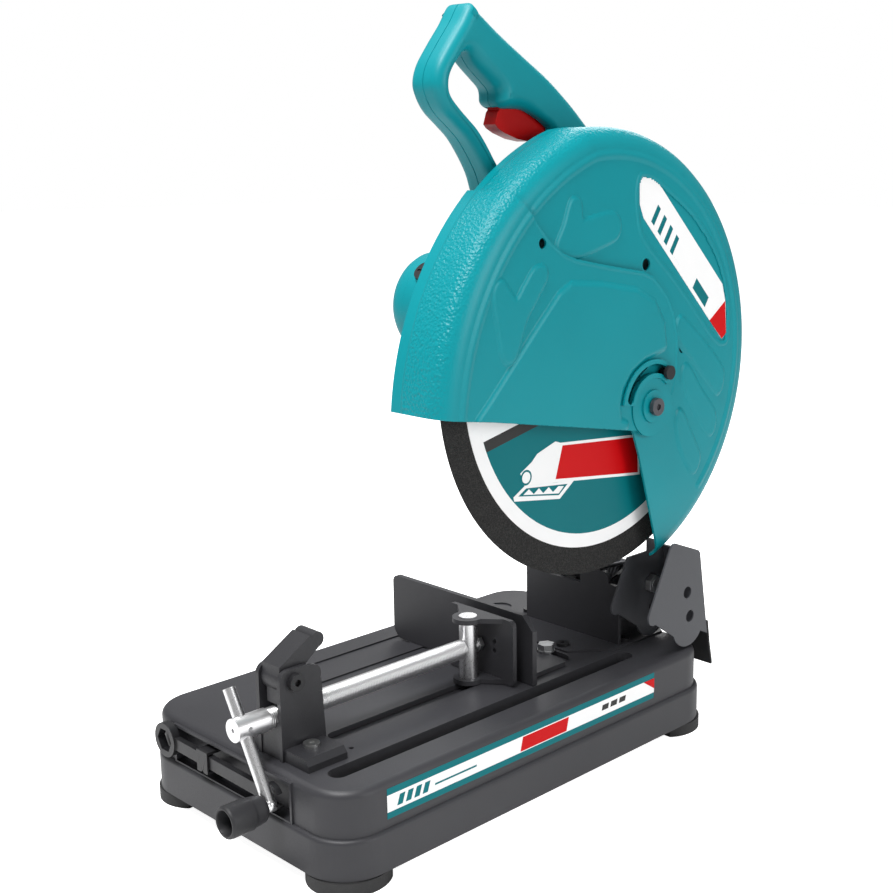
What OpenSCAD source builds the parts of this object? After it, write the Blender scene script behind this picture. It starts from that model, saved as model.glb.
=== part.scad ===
// Abrasive chop saw: pressed steel base, screw vise, hinged cutting head.
// Millimetres. +Z up, -Y is the operator's side, +X is the open side of the wheel.
// The origin is on the ground under the middle of the base.

/* [Base] */
// outer width across the lower skirt
base_w = 257; // [240:1:280]
// outer length along the cut
base_l = 428; // [400:1:460]
// height of the table above the ground
table_z = 76.5; // [70:0.5:90]
// height of the skirt's lower edge above the ground
skirt_z = 11; // [8:0.5:15]
// thickness of the pressed sheet
sheet = 2.2; // [1.5:0.1:3]

/* [Wheel] */
// cutting wheel diameter
wheel_d = 355; // [300:1:356]
// cutting wheel thickness
wheel_t = 3; // [2.5:0.1:3.5]
// bore of the wheel
wheel_bore = 25.4; // [20:0.1:32]
// position of the wheel's middle plane across the saw
wheel_x = 86; // [80:0.5:92]

/* [Head] */
// spindle position along the saw
spindle_y = 100; // [90:1:110]
// spindle height above the ground
spindle_z = 341; // [320:1:350]
// hinge position along the saw
hinge_y = 186; // [180:1:195]
// hinge height above the ground
hinge_z = 129; // [120:1:140]
// radius of the fixed guard's drum
guard_r = 190; // [185:1:200]
// radius of the swinging guard about its own pivot
swing_r = 241; // [238:1:246]
// distance from spindle to motor axis
gear_cd = 35.875; // [34:0.125:38]

/* [Vise] */
// position of the vise screw across the saw
screw_x = 31; // [25:1:40]
// height of the vise screw
screw_z = 107; // [100:1:110]
// radius of the vise screw
screw_r = 8; // [6:0.5:10]
// front plane of the fence
fence_y = 27.7; // [20:0.1:40]

/* [Handle] */
// middle plane of the handle across the saw
grip_x = 30; // [20:1:35]
// width of the handle
grip_w = 34; // [28:1:38]

/* [Hidden] */
$fn = 96;
e = 0.01;
run = 0.06;
gap = 0.3;
wheel_r = wheel_d / 2;
wheel_x0 = wheel_x - wheel_t / 2;
wheel_x1 = wheel_x + wheel_t / 2;
motor_ang = 60;
motor_y = spindle_y + gear_cd * cos(motor_ang);
motor_z = spindle_z + gear_cd * sin(motor_ang);
pivot_y = spindle_y + 43;
pivot_z = spindle_z - 39;
gear_n = 45;
pinion_n = 11;
gear_m = 2 * gear_cd / (gear_n + pinion_n);
face_x = 104;
fixed_x0 = 57;
swing_x0 = 54;
swing_face = face_x + 4.2;
rim_edge = 17;
upper_w = base_w - 7;
upper_l = base_l - 7;
corner_r = 33;
skirt_r = corner_r + 3.5;
top_in = table_z - sheet;
slot_x = 88;
slot_w = 16;
foot_x = base_w / 2 - skirt_r;
foot_y = base_l / 2 - skirt_r;
bench_off = 16;
pin_r = 7.5;
fence_px = 50;
fence_py = 44;
fence_slot_r = 44.5;
lock_r = 32;
lock_ang = 58;
crank_y = -222.8;
lever_y = -187;
lever_z = 135.5;
trigger_y = 84;
trigger_z = 537;

// ---------- helpers ----------
module along_x(x0, x1) {
    translate([x0, 0, 0])
        rotate([90, 0, 90])
            linear_extrude(height = x1 - x0)
                children();
}

module along_y(y0, y1) {
    translate([0, y1, 0])
        rotate([90, 0, 0])
            linear_extrude(height = y1 - y0)
                children();
}

module rod_x(r, x0, x1, y, z) {
    translate([x0, y, z])
        rotate([0, 90, 0])
            cylinder(r = r, h = x1 - x0);
}

module rod_y(r, y0, y1, x, z) {
    translate([x, y1, z])
        rotate([90, 0, 0])
            cylinder(r = r, h = y1 - y0);
}

module rod_z(r, z0, z1, x, y) {
    translate([x, y, z0])
        cylinder(r = r, h = z1 - z0);
}

module hex_x(af, x0, x1, y, z) {
    translate([x0, y, z])
        rotate([0, 90, 0])
            cylinder(r = af / sqrt(3), h = x1 - x0, $fn = 6);
}

module block(x0, x1, y0, y1, z0, z1) {
    translate([x0, y0, z0])
        cube([x1 - x0, y1 - y0, z1 - z0]);
}

module round_rect(w, l, r) {
    square([w - 2 * r, l], center = true);
    square([w, l - 2 * r], center = true);
    for (sx = [-1, 1], sy = [-1, 1])
        translate([sx * (w / 2 - r), sy * (l / 2 - r)])
            circle(r);
}

module slot_2d(l, w) {
    square([w, l - w], center = true);
    for (s = [-1, 1])
        translate([0, s * (l - w) / 2])
            circle(w / 2);
}

// a bar with round ends between two points of the plane
module bar_2d(a, b, r) {
    len = norm(b - a);
    ang = atan2(b[1] - a[1], b[0] - a[0]);
    translate(a)
        rotate(ang)
            translate([0, -r])
                square([len, 2 * r]);
    translate(a)
        circle(r);
    translate(b)
        circle(r);
}

// slab with round corners and a rounded upper edge
module soft_slab(w, l, z0, z1, r, edge) {
    translate([0, 0, z0])
        linear_extrude(height = z1 - z0 - edge)
            round_rect(w, l, r);
    translate([0, 0, z0])
        linear_extrude(height = z1 - z0)
            round_rect(w - 2 * edge, l - 2 * edge, r - edge);
    for (sx = [-1, 1], sy = [-1, 1])
        translate([sx * (w / 2 - r), sy * (l / 2 - r), z1 - edge])
            rotate_extrude()
                translate([r - edge, 0])
                    circle(edge, $fn = 32);
    for (s = [-1, 1]) {
        rod_x(edge, -(w / 2 - r), w / 2 - r, s * (l / 2 - edge), z1 - edge, $fn = 32);
        rod_y(edge, -(l / 2 - r), l / 2 - r, s * (w / 2 - edge), z1 - edge, $fn = 32);
    }
}

// drum about an axis along X with a rounded outer edge
function rim_profile(r, x0, x1, edge) = concat([[0, x0], [r, x0]],
    [for (a = [0:15:90]) [r - edge + edge * cos(a), x1 - edge + edge * sin(a)]], [[0, x1]]);

module drum(r, x0, x1, edge, y, z) {
    translate([0, y, z])
        rotate([0, 90, 0])
            rotate_extrude($fn = 180)
                polygon(rim_profile(r, x0, x1, edge));
}

// smooth closed curve through the given points
function curve_pt(a, b, c, d, t) = 0.5 * (2 * b + (c - a) * t
    + (2 * a - 5 * b + 4 * c - d) * t * t + (3 * b - a - 3 * c + d) * t * t * t);
function smooth(p, n = 4) = let (m = len(p))
    [for (i = [0:m - 1]) for (j = [0:n - 1])
        curve_pt(p[(i + m - 1) % m], p[i], p[(i + 1) % m], p[(i + 2) % m], j / n)];

module ring_x(r_out, r_in, x0, x1, y, z) {
    difference() {
        rod_x(r_out, x0, x1, y, z);
        rod_x(r_in, x0 - 1, x1 + 1, y, z);
    }
}

// point at a polar position about a centre
function polar(c, r, a) = [c[0] + r * cos(a), c[1] + r * sin(a)];

spindle_c = [spindle_y, spindle_z];
pivot_c = [pivot_y, pivot_z];
hinge_c = [hinge_y, hinge_z];
motor_c = [motor_y, motor_z];

// ---------- base ----------
channels = [[36, -15, 14, 270, 4.5], [-54, 20, 8, 290, 1.4], [-86, 20, 22, 290, 1.4]];

module channel_cut(c, grow, deep) {
    translate([c[0], c[1], table_z - c[4] - deep])
        linear_extrude(height = c[4] + deep + (grow > 0 ? -1 : 1))
            slot_2d(c[3] + 2 * grow, c[2] + 2 * grow);
}

module base() {
    color("#303134")
    difference() {
        union() {
            difference() {
                union() {
                    soft_slab(base_w, base_l, skirt_z, 41.5, skirt_r, 3.5);
                    soft_slab(upper_w, upper_l, 30, table_z, corner_r, 6);
                }
                soft_slab(base_w - 2 * sheet, base_l - 2 * sheet, skirt_z - 5, 41.5 - sheet,
                    skirt_r - sheet, 1.5);
                soft_slab(upper_w - 2 * sheet, upper_l - 2 * sheet, 20, top_in,
                    corner_r - sheet, 3.8);
            }
            for (c = channels)
                channel_cut(c, sheet, sheet);
            // hem round the wheel slot
            translate([slot_x, -24, table_z - 14])
                linear_extrude(height = 13)
                    slot_2d(332 + 2 * sheet, slot_w + 2 * sheet);
            // pocket in the front wall that holds the spanner
            block(-82, 71, -212, -199, 40, 73);
            // turned-in foot pads
            for (sx = [-1, 1], sy = [-1, 1])
                translate([sx * foot_x, sy * foot_y, skirt_z])
                    cylinder(r = skirt_r - 1, h = sheet);
        }
        for (c = channels)
            channel_cut(c, 0, 0);
        translate([slot_x, -24, table_z - 20])
            linear_extrude(height = 30)
                slot_2d(332, slot_w);
        block(-79.8, 68.8, -220, -201.2, 42.5, 70.8);
        for (sx = [-1, 1], sy = [-1, 1]) {
            rod_z(3.3, 5, 20, sx * foot_x, sy * foot_y);
            rod_z(3.3, 5, 20, sx * (foot_x + bench_off), sy * (foot_y + bench_off));
        }
        for (p = bracket_holes)
            rod_z(3.3, 60, 80, p[0], p[1]);
        for (p = turret_holes)
            rod_z(3.3, 60, 80, p[0], p[1]);
        rod_z(4.3, 60, 80, fence_px, fence_py);
        rod_z(4.3, 60, 80, clamp_p[0], clamp_p[1]);
        rod_z(2, 60, 80, 62, -150);
    }
}

bracket_holes = [[54, -180], [7, -180]];
// last number: depth of the pressing over the nut
turret_holes = [[34.5, 113, 4.5], [-34, 113, 0], [66, 160, 0], [-52, 160, 1.4]];
clamp_p = polar([fence_px, fence_py], fence_slot_r, 105);

// ---------- feet ----------
module foot(sx, sy) {
    color("#1c1d1f")
    translate([sx * foot_x, sy * foot_y, 0])
        difference() {
            intersection() {
                // round pad with a low lip, pushed towards the corner
                translate([sx * 5, sy * 5, 0])
                    union() {
                        cylinder(r = 29.5, h = 4.5);
                        cylinder(r = 31.5, h = skirt_z - 0.8);
                        cylinder(r = 29.5, h = skirt_z);
                    }
                translate([sx > 0 ? -16 : -60, sy > 0 ? -16 : -60, -1])
                    cube([76, 76, 30]);
            }
            translate([0, 0, -1])
                cylinder(r = 8.5, h = 6);
            cylinder(r = 3.3, h = 30);
            translate([sx * bench_off, sy * bench_off, -1])
                cylinder(r = 3.3, h = 30);
        }
}

module foot_screws() {
    color("#b9bcc0")
    for (sx = [-1, 1], sy = [-1, 1]) {
        rod_z(7.5, 2, 5, sx * foot_x, sy * foot_y);
        rod_z(3, 5, 17, sx * foot_x, sy * foot_y);
        rod_z(5.5, skirt_z + sheet, skirt_z + sheet + 3, sx * foot_x, sy * foot_y, $fn = 6);
    }
}

// ---------- spanner stored on the front wall ----------
spanner_y0 = -217.2;
spanner_y1 = -212.2;
module spanner() {
    color("#3a3b3f")
    difference() {
        union() {
            along_y(spanner_y0, spanner_y1)
                bar_2d([-80, 60], [52, 58], 5);
            rod_y(14, spanner_y0 - 1.6, spanner_y1, -85, 60);
            rod_y(10.5, spanner_y0, spanner_y1, 52, 58);
        }
        translate([-85, -200, 60])
            rotate([90, 0, 0])
                cylinder(r = 17 / sqrt(3), h = 30, $fn = 6);
        block(51, 70, -220, -200, 53.5, 62.5);
    }
}

module spanner_clip() {
    color("#26272a")
    difference() {
        union() {
            block(-39, -25, -218.9, -201.2, 50, 52.2);
            block(-39, -25, -218.9, -217.5, 50, 66.5);
            block(-39, -25, -218.9, -201.2, 65.4, 67.6);
        }
        along_y(-230, -190)
            translate([-32, 50])
                circle(1.5);
    }
}

// ---------- vise ----------
module vise_bracket() {
    color("#2b2c2f")
    difference() {
        union() {
            // cheeks with round upper corners
            for (x = [screw_x - 15, screw_x + 11])
                along_x(x, x + 4)
                    union() {
                        polygon([[-200, table_z], [-160, table_z], [-163, 132], [-200, 137]]);
                        polygon([[-200, 120], [-163, 120], [-170, 142], [-176, 145.5],
                            [-192, 145.5]]);
                        translate([-192, 137.5])
                            circle(8);
                        translate([-171, 136])
                            circle(8);
                    }
            // cradle under the screw
            block(screw_x - 12, screw_x + 12, -199, -162, table_z, screw_z - 2);
            // feet with chamfered edges
            along_y(-198, -163)
                polygon([[-14, table_z], [-14, table_z + 5], [-10, table_z + 9.5],
                    [screw_x - 11, table_z + 9.5], [screw_x + 13, table_z + 9.5],
                    [70, table_z + 9.5], [74, table_z + 5], [74, table_z]]);
        }
        rod_y(screw_r + run, -210, -150, screw_x, screw_z);
        rod_x(4.3, 0, 70, lever_y, lever_z);
        for (p = bracket_holes)
            rod_z(3.3, 60, 100, p[0], p[1]);
    }
}

module bracket_screws() {
    color("#c9cccf")
    for (p = bracket_holes)
        difference() {
            union() {
                rod_z(6.2, table_z + 9.5, table_z + 12.2, p[0], p[1]);
                rod_z(3, table_z - 12, table_z + 9.6, p[0], p[1]);
                rod_z(5.5, top_in - 5, top_in - 0.05, p[0], p[1], $fn = 6);
            }
            rod_z(2.4, table_z + 10.8, table_z + 13, p[0], p[1], $fn = 6);
        }
}

module release_lever() {
    color("#34353a")
    difference() {
        union() {
            along_x(screw_x - 10.4, screw_x + 10.4)
                union() {
                    translate([lever_y, lever_z])
                        circle(11);
                    // paddle leaning back
                    polygon([[lever_y - 10, lever_z + 2], [lever_y - 9.5, lever_z + 12],
                        [-168.5, 164.5], [-158, 156], [-173, 144.5], [-177, lever_z - 2]]);
                    translate([-162, 159.8])
                        circle(6);
                }
            // half-nut rocker above the screw
            along_x(screw_x - 7, screw_x + 7)
                intersection() {
                    translate([lever_y, lever_z])
                        circle(lever_z - screw_z - screw_r - 0.4);
                    translate([lever_y - 9, lever_z - 30])
                        square([18, 30]);
                }
        }
        rod_x(4.05 + run, 0, 70, lever_y, lever_z);
    }
}

module lever_bolt() {
    color("#232427")
    difference() {
        union() {
            rod_x(4.05, screw_x - 22, screw_x + 15, lever_y, lever_z);
            rod_x(6.6, screw_x + 15, screw_x + 19.4, lever_y, lever_z);
            hex_x(13, screw_x - 21.5, screw_x - 15, lever_y, lever_z);
        }
        hex_x(5, screw_x + 16.5, screw_x + 21, lever_y, lever_z);
    }
}

crank_a = -59.9;
crank_down = 57.8;
crank_up = 30;
module vise_screw() {
    color("#c4c6c9")
    difference() {
        union() {
            rod_y(screw_r, -203, -pin_r - 0.4, screw_x, screw_z);
            rod_y(screw_r + 0.8, -231, -203.2, screw_x, screw_z);
            rod_y(screw_r - 0.5, -204, -202, screw_x, screw_z);
            rod_y(4.5, -pin_r - 1, 12, screw_x, screw_z);
        }
        translate([screw_x, crank_y, screw_z])
            rotate([0, 90 - crank_a, 0])
                cylinder(r = 4.6, h = 60, center = true);
        rod_y(1.6, -234, -228.5, screw_x, screw_z);
        rod_x(1.7, screw_x + 5, screw_x + 14, crank_y + 1, screw_z + 1);
    }
}

module crank_bar() {
    gx = screw_x + crank_down * cos(crank_a);
    gz = screw_z + crank_down * sin(crank_a);
    color("#cfd1d4")
    union() {
        translate([screw_x, crank_y, screw_z])
            rotate([0, 90 - crank_a, 0])
                translate([0, 0, -crank_up])
                    cylinder(r = 4.6, h = crank_up + crank_down);
        translate([gx, crank_y, gz])
            sphere(5.2, $fn = 48);
        rod_y(4.6, -250, crank_y, gx, gz);
        rod_y(6.5, -251.5, -249.5, gx, gz);
    }
}

module crank_grip() {
    gx = screw_x + crank_down * cos(crank_a);
    gz = screw_z + crank_down * sin(crank_a);
    color("#1b1c1e")
    translate([gx, -228.5, gz])
        rotate([90, 0, 0])
            rotate_extrude()
                polygon([[4.6 + run, 0], [8.5, 0], [10.2, 2.5], [11.2, 11], [12, 13],
                    [12, 30.5], [11, 32], [9.5, 32], [9, 31], [9, 20.5],
                    [4.6 + run, 20.5]]);
}

module jaw_pin() {
    color("#c4c6c9")
    difference() {
        rod_z(pin_r, table_z + 1.2, 134.6, screw_x, 0);
        rod_y(4.5 + run, -20, 20, screw_x, screw_z);
    }
}

module screw_retainer() {
    color("#8d9094")
    difference() {
        rod_y(7, pin_r + 0.4, 12.4, screw_x, screw_z, $fn = 6);
        rod_y(4.5, 0, 20, screw_x, screw_z);
    }
}

module jaw() {
    color("#2a2b2e")
    difference() {
        union() {
            along_y(14, 18)
                translate([screw_x, (table_z + 0.7 + 134) / 2])
                    round_rect(78, 134 - table_z - 0.7, 5);
            for (z = [table_z + 0.7, 130])
                translate([screw_x, 0, z])
                    linear_extrude(height = 4)
                        union() {
                            circle(13);
                            polygon([[-12.9, 2], [12.9, 2], [28, 14.5], [-28, 14.5]]);
                        }
        }
        rod_z(pin_r + run, 60, 150, screw_x, 0);
        rod_y(2.2, 0, 30, screw_x + 17, 104);
        rod_y(2.2, 0, 30, screw_x + 17, 112);
    }
}

module fence() {
    z0 = table_z + gap;
    color("#2a2b2e")
    difference() {
        union() {
            along_y(fence_y, fence_y + 5)
                difference() {
                    union() {
                        translate([-91, 130])
                            circle(6);
                        translate([-85, z0 + 12])
                            circle(12);
                        polygon([[-97, z0 + 12], [-85, z0], [79, z0], [79, 124], [67, 136],
                            [-91, 136], [-97, 130]]);
                    }
                    translate([-97.01, z0 - e])
                        square([e, e]);
                }
            // foot behind the plate
            translate([0, 0, z0])
                linear_extrude(height = 4)
                    polygon([[10, fence_y + 4], [68, fence_y + 4], [68, 84], [58, 95], [24, 97],
                        [10, 80]]);
            // bend between plate and foot
            along_x(10, 68)
                polygon([[fence_y + 4, z0 + 3.5], [fence_y + 8.5, z0 + 3.5],
                    [fence_y + 4.5, z0 + 8]]);
        }
        rod_z(4 + run, 60, 100, fence_px, fence_py);
        // arc slot for the angle setting
        translate([fence_px, fence_py, 60])
            rotate([0, 0, 52])
                rotate_extrude(angle = 69)
                    translate([fence_slot_r - 4.35, 0])
                        square([8.7, 40]);
        for (a = [52, 121])
            rod_z(4.35, 60, 100, fence_px + fence_slot_r * cos(a),
                fence_py + fence_slot_r * sin(a));
    }
}

module fence_bolts() {
    z1 = table_z + gap + 4 + gap;
    color("#b4b7ba")
    for (p = [[fence_px, fence_py], clamp_p]) {
        rod_z(4, top_in - 13, z1 + 7, p[0], p[1]);
        rod_z(7.6, z1, z1 + 1.6, p[0], p[1]);
        rod_z(13 / sqrt(3), z1 + 1.6, z1 + 7, p[0], p[1], $fn = 6);
        // nut clear of the channel pressed in the table
        rod_z(13 / sqrt(3), top_in - 11, top_in - 4.55, p[0], p[1], $fn = 6);
    }
    rod_z(4.7, top_in - 5, top_in - 0.05, fence_px, fence_py);
}

// ---------- turret ----------
module turret() {
    z0 = table_z;
    color("#35363a")
    difference() {
        union() {
            // foot plate
            translate([0, 0, z0])
                linear_extrude(height = 1.8)
                    polygon([[-50, 104], [48, 104], [76, 140], [76, 204], [70, 208],
                        [-60, 208], [-66, 202], [-66, 130]]);
            // front web with a notch for the arm
            along_y(148, 152)
                difference() {
                    union() {
                        translate([-44, z0])
                            square([102, 58]);
                        polygon([[57, z0], [70, z0], [70, 128], [66, 132], [57, 133]]);
                        translate([-38, z0])
                            square([88, 67]);
                        translate([-38, z0 + 57])
                            circle(6, $fn = 48);
                        translate([50, z0 + 59])
                            circle(8, $fn = 48);
                    }
                    translate([-25, 127])
                        square([49, 60]);
                }
            // cheeks round the hinge
            for (x = [-44, 54])
                along_x(x, x + 4)
                    union() {
                        polygon([[148, z0], [208, z0], [208, 100], [203, hinge_z],
                            [hinge_y, hinge_z + 19], [172, hinge_z + 12], [148, 134]]);
                        translate(hinge_c)
                            circle(19);
                    }
        }
        rod_x(8 + run / 2, -60, 80, hinge_y, hinge_z);
        rod_x(3.2, 40, 80, 190.3, 106);
        for (p = turret_holes)
            rod_z(3.3, 60, 100, p[0], p[1]);
    }
}

module turret_screws() {
    color("#26272a")
    for (p = turret_holes)
        difference() {
            union() {
                rod_z(6, table_z + 1.8, table_z + 4.6, p[0], p[1]);
                rod_z(3, table_z - 16, table_z + 2, p[0], p[1]);
                rod_z(5.5, top_in - p[2] - 5, top_in - p[2] - 0.05, p[0], p[1], $fn = 6);
            }
            rod_z(2.2, table_z + 3.2, table_z + 6, p[0], p[1], $fn = 6);
        }
}

module hinge_bolt() {
    color("#9fa2a6")
    union() {
        rod_x(8, -50, 58, hinge_y, hinge_z);
        hex_x(22, -56, -49, hinge_y, hinge_z);
        rod_x(5, 57, 82.6, hinge_y, hinge_z);
    }
}

module hinge_nut() {
    color("#9fa2a6")
    difference() {
        union() {
            hex_x(15, 76, 82, hinge_y, hinge_z);
            rod_x(8.5, 58.05, 74, hinge_y, hinge_z);
            rod_x(5.4, 70, 78, hinge_y, hinge_z);
        }
        rod_x(5, 50, 90, hinge_y, hinge_z);
    }
}

module hinge_bushes() {
    color("#b08a4a")
    for (x = [-28, 16])
        ring_x(11, 8 + run, x, x + 12, hinge_y, hinge_z);
}

module return_spring() {
    color("#7b7e83")
    union() {
        // close-wound coil
        translate([32.5, hinge_y, hinge_z])
            rotate([0, 90, 0])
                rotate_extrude()
                    union() {
                        for (i = [0:4])
                            translate([13, i * 3.6])
                                circle(1.9, $fn = 24);
                    }
        // leg resting on the front web
        translate([47.3, hinge_y, hinge_z + 13])
            rotate([84, 0, 0])
                cylinder(r = 1.9, h = 44, $fn = 24);
        // leg towards the arm
        translate([32.5, hinge_y - 13, hinge_z])
            rotate([-12, 0, 0])
                cylinder(r = 1.9, h = 46, $fn = 24);
    }
}

module depth_stop() {
    color("#9fa2a6")
    union() {
        rod_z(4, table_z + 1.85, 119.5, 0, 160);
        rod_z(6.4, 119, 124, 0, 160, $fn = 6);
        rod_z(6.4, table_z + 1.85, table_z + 8, 0, 160, $fn = 6);
    }
}

// ---------- gears ----------
function spin(p, a) = [p[0] * cos(a) - p[1] * sin(a), p[0] * sin(a) + p[1] * cos(a)];
function inv(a) = tan(a) * 180 / PI - a;
// half the angle of an involute tooth at radius r
function tooth_half(n, m, r) = let (rp = n * m / 2)
    90 / n - 0.14 / rp * 180 / PI + inv(20) - inv(acos(rp * cos(20) / r));
function tooth_radii(n, m) = let (rp = n * m / 2, r0 = max(rp * cos(20) + 0.02, rp - 1.1 * m),
        ro = rp + 0.85 * m)
    [for (k = [0:0.25:1]) r0 + (ro - r0) * k];
function tooth(n, m, a) = let (rs = tooth_radii(n, m), rr = n * m / 2 - 1.2 * m,
        h0 = tooth_half(n, m, rs[0]) + 12 / n)
    concat([spin([rr, 0], a - h0)],
        [for (r = rs) spin([r, 0], a - tooth_half(n, m, r))],
        [for (i = [4:-1:0]) spin([rs[i], 0], a + tooth_half(n, m, rs[i]))],
        [spin([rr, 0], a + h0)]);

module gear_2d(n, m, a0) {
    polygon([for (i = [0:n - 1]) for (p = tooth(n, m, a0 + i * 360 / n)) p]);
}

module gear() {
    color("#8b8e92")
    difference() {
        along_x(20, 32)
            translate(spindle_c)
                gear_2d(gear_n, gear_m, motor_ang);
        rod_x(8, 0, 60, spindle_y, spindle_z);
        for (a = [0:60:300])
            rod_x(4, 0, 60, spindle_y + 17 * cos(a), spindle_z + 17 * sin(a));
    }
}

module spindle() {
    color("#a9acb0")
    union() {
        rod_x(8, 8, 84, spindle_y, spindle_z);
        rod_x(10, 60, 76.2, spindle_y, spindle_z);
        rod_x(wheel_bore / 2 - 0.05, 84, 88.5, spindle_y, spindle_z);
        rod_x(11, 32, 36, spindle_y, spindle_z);
    }
}

module spindle_bearing() {
    color("#c4c6c9")
    union() {
        ring_x(17.5, 8 + run, 42, 54, spindle_y, spindle_z);
        ring_x(11, 8 + run, 9, 16, spindle_y, spindle_z);
    }
}

module flange_inner() {
    color("#77797d")
    difference() {
        rod_x(27, 77, wheel_x0, spindle_y, spindle_z);
        rod_x(8, 70, 84, spindle_y, spindle_z);
        rod_x(wheel_bore / 2 - 0.05, 84, 90, spindle_y, spindle_z);
        ring_x(24, 14, 83.7, 90, spindle_y, spindle_z);
    }
}

module flange_outer() {
    color("#77797d")
    difference() {
        union() {
            rod_x(27, wheel_x1 + 0.4, 92, spindle_y, spindle_z);
            rod_x(18, 91, 94.5, spindle_y, spindle_z);
        }
        rod_x(wheel_bore / 2 - 0.05, 80, 88.5, spindle_y, spindle_z);
        rod_x(5, 80, 100, spindle_y, spindle_z);
    }
}

module arbor_bolt() {
    color("#8d9094")
    union() {
        rod_x(5, 88.5, 95, spindle_y, spindle_z);
        rod_x(10, 94.5, 96, spindle_y, spindle_z);
        hex_x(17, 96, 101.5, spindle_y, spindle_z);
    }
}

module wheel() {
    color("#2d2d2e")
    ring_x(wheel_r, wheel_bore / 2, wheel_x0, wheel_x1, spindle_y, spindle_z);
}

module wheel_label() {
    color("#138086")
    ring_x(154.4, wheel_bore / 2 + 0.3, wheel_x1, wheel_x1 + 0.4, spindle_y, spindle_z);
}

// ---------- gear head and arm ----------
module gear_head() {
    color("#2f3034")
    difference() {
        union() {
            rod_x(46, -2, 56.95, spindle_y, spindle_z);
            rod_x(50, -8, 34, motor_y, motor_z);
            rod_x(18, -28, 28, hinge_y, hinge_z);
            // arm between hinge and gear box
            along_x(-18, 18)
                polygon([[hinge_y - 16, hinge_z + 7], [hinge_y + 17, hinge_z + 7],
                    [spindle_y + 42, spindle_z - 30], [spindle_y + 10, spindle_z + 10],
                    [spindle_y - 34, spindle_z - 30]]);
            // saddle that carries the handle
            along_x(grip_x - 14, grip_x + 14)
                polygon([[70, 400], [165, 400], [150, 478], [48, 478]]);
        }
        rod_x(11, -40, -16, hinge_y, hinge_z);
        rod_x(11, 16, 40, hinge_y, hinge_z);
        rod_x(8.4, -40, 40, hinge_y, hinge_z);
        // gear room
        rod_x(32, 18, 40, spindle_y, spindle_z);
        rod_x(12.3, 36, 43, spindle_y, spindle_z);
        rod_x(17.5, 42, 54, spindle_y, spindle_z);
        rod_x(12, 53, 60, spindle_y, spindle_z);
        rod_x(11, 9, 19, spindle_y, spindle_z);
        rod_x(8.5, 0, 10, spindle_y, spindle_z);
        // room round the motor case
        rod_x(50 + gap, -30, motor_x1, motor_y, motor_z);
        // screw that holds the handle to the saddle
        rod_x(2.2, 0, 60, handle_screw_p[3][0], handle_screw_p[3][1]);
        // pinion room and motor seat
        rod_x(9.5, -20, 38, motor_y, motor_z);
        rod_x(46, -20, -3, motor_y, motor_z);
        // pockets in the arm
        for (s = [[-19, -12], [12, 19]])
            along_x(s[0], s[1])
                polygon([[hinge_y - 10, hinge_z + 30], [hinge_y + 4, hinge_z + 30],
                    [spindle_y + 34, spindle_z - 62], [spindle_y - 6, spindle_z - 62]]);
        for (a = guard_screw_angles)
            rod_x(2.6, 44, 60, spindle_y + 38 * cos(a), spindle_z + 38 * sin(a));
    }
}

guard_screw_angles = [20, 110, 200, 290];

module guard_screws() {
    color("#9fa2a6")
    for (a = guard_screw_angles) {
        rod_x(2.6, 46, 60, spindle_y + 38 * cos(a), spindle_z + 38 * sin(a));
        hex_x(8, 59.5, 63, spindle_y + 38 * cos(a), spindle_z + 38 * sin(a));
    }
}

// ---------- motor ----------
motor_x0 = -122;
motor_x1 = -8;
end_x0 = -146;
module armature() {
    color("#a58457")
    union() {
        rod_x(4, -138, 33, motor_y, motor_z);
        rod_x(25, -84, -42, motor_y, motor_z);
        rod_x(12, -108, -92, motor_y, motor_z);
        rod_x(7, -18, 4, motor_y, motor_z);
        along_x(20.5, 31.5)
            translate(motor_c)
                gear_2d(pinion_n, gear_m, motor_ang + 180 + 180 / pinion_n);
    }
}

module motor_bearings() {
    color("#c4c6c9")
    union() {
        ring_x(9.5, 4 + run, 5, 14, motor_y, motor_z);
        ring_x(8, 4 + run, -142, -134, motor_y, motor_z);
    }
}

module fan() {
    color("#26272a")
    union() {
        ring_x(10, 4, -34, -22, motor_y, motor_z);
        for (a = [0:30:330])
            translate([0, motor_y, motor_z])
                rotate([a, 0, 0])
                    block(-33, -24, -1, 1, 9.5, 41);
        ring_x(41, 9.5, -24, -22.5, motor_y, motor_z);
    }
}

module stator() {
    color("#5b5048")
    difference() {
        rod_x(44, -86, -40, motor_y, motor_z);
        rod_x(25.6, -90, -30, motor_y, motor_z);
    }
}

module motor_case() {
    color("#12868b")
    difference() {
        union() {
            rod_x(50, motor_x0, motor_x1 - 0.05, motor_y, motor_z);
            rod_x(45.9, motor_x1 - 1, -3.2, motor_y, motor_z);
            for (a = brush_angles)
                translate([0, motor_y, motor_z])
                    rotate([a, 0, 0])
                        rod_z(10, 40, 52.5, brush_x, 0);
        }
        rod_x(46.6, -200, -86, motor_y, motor_z);
        rod_x(44, -87, -39, motor_y, motor_z);
        rod_x(43, -40, 10, motor_y, motor_z);
        for (a = brush_angles)
            translate([0, motor_y, motor_z])
                rotate([a, 0, 0])
                    rod_z(7, 30, 60, brush_x, 0);
        // air slots near the gear head
        for (a = [100:16:260])
            translate([-28, motor_y, motor_z])
                rotate([a, 0, 0])
                    block(-6, 12, -2, 2, 40, 60);
    }
}

brush_x = -104;
brush_angles = [49, 229];

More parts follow.
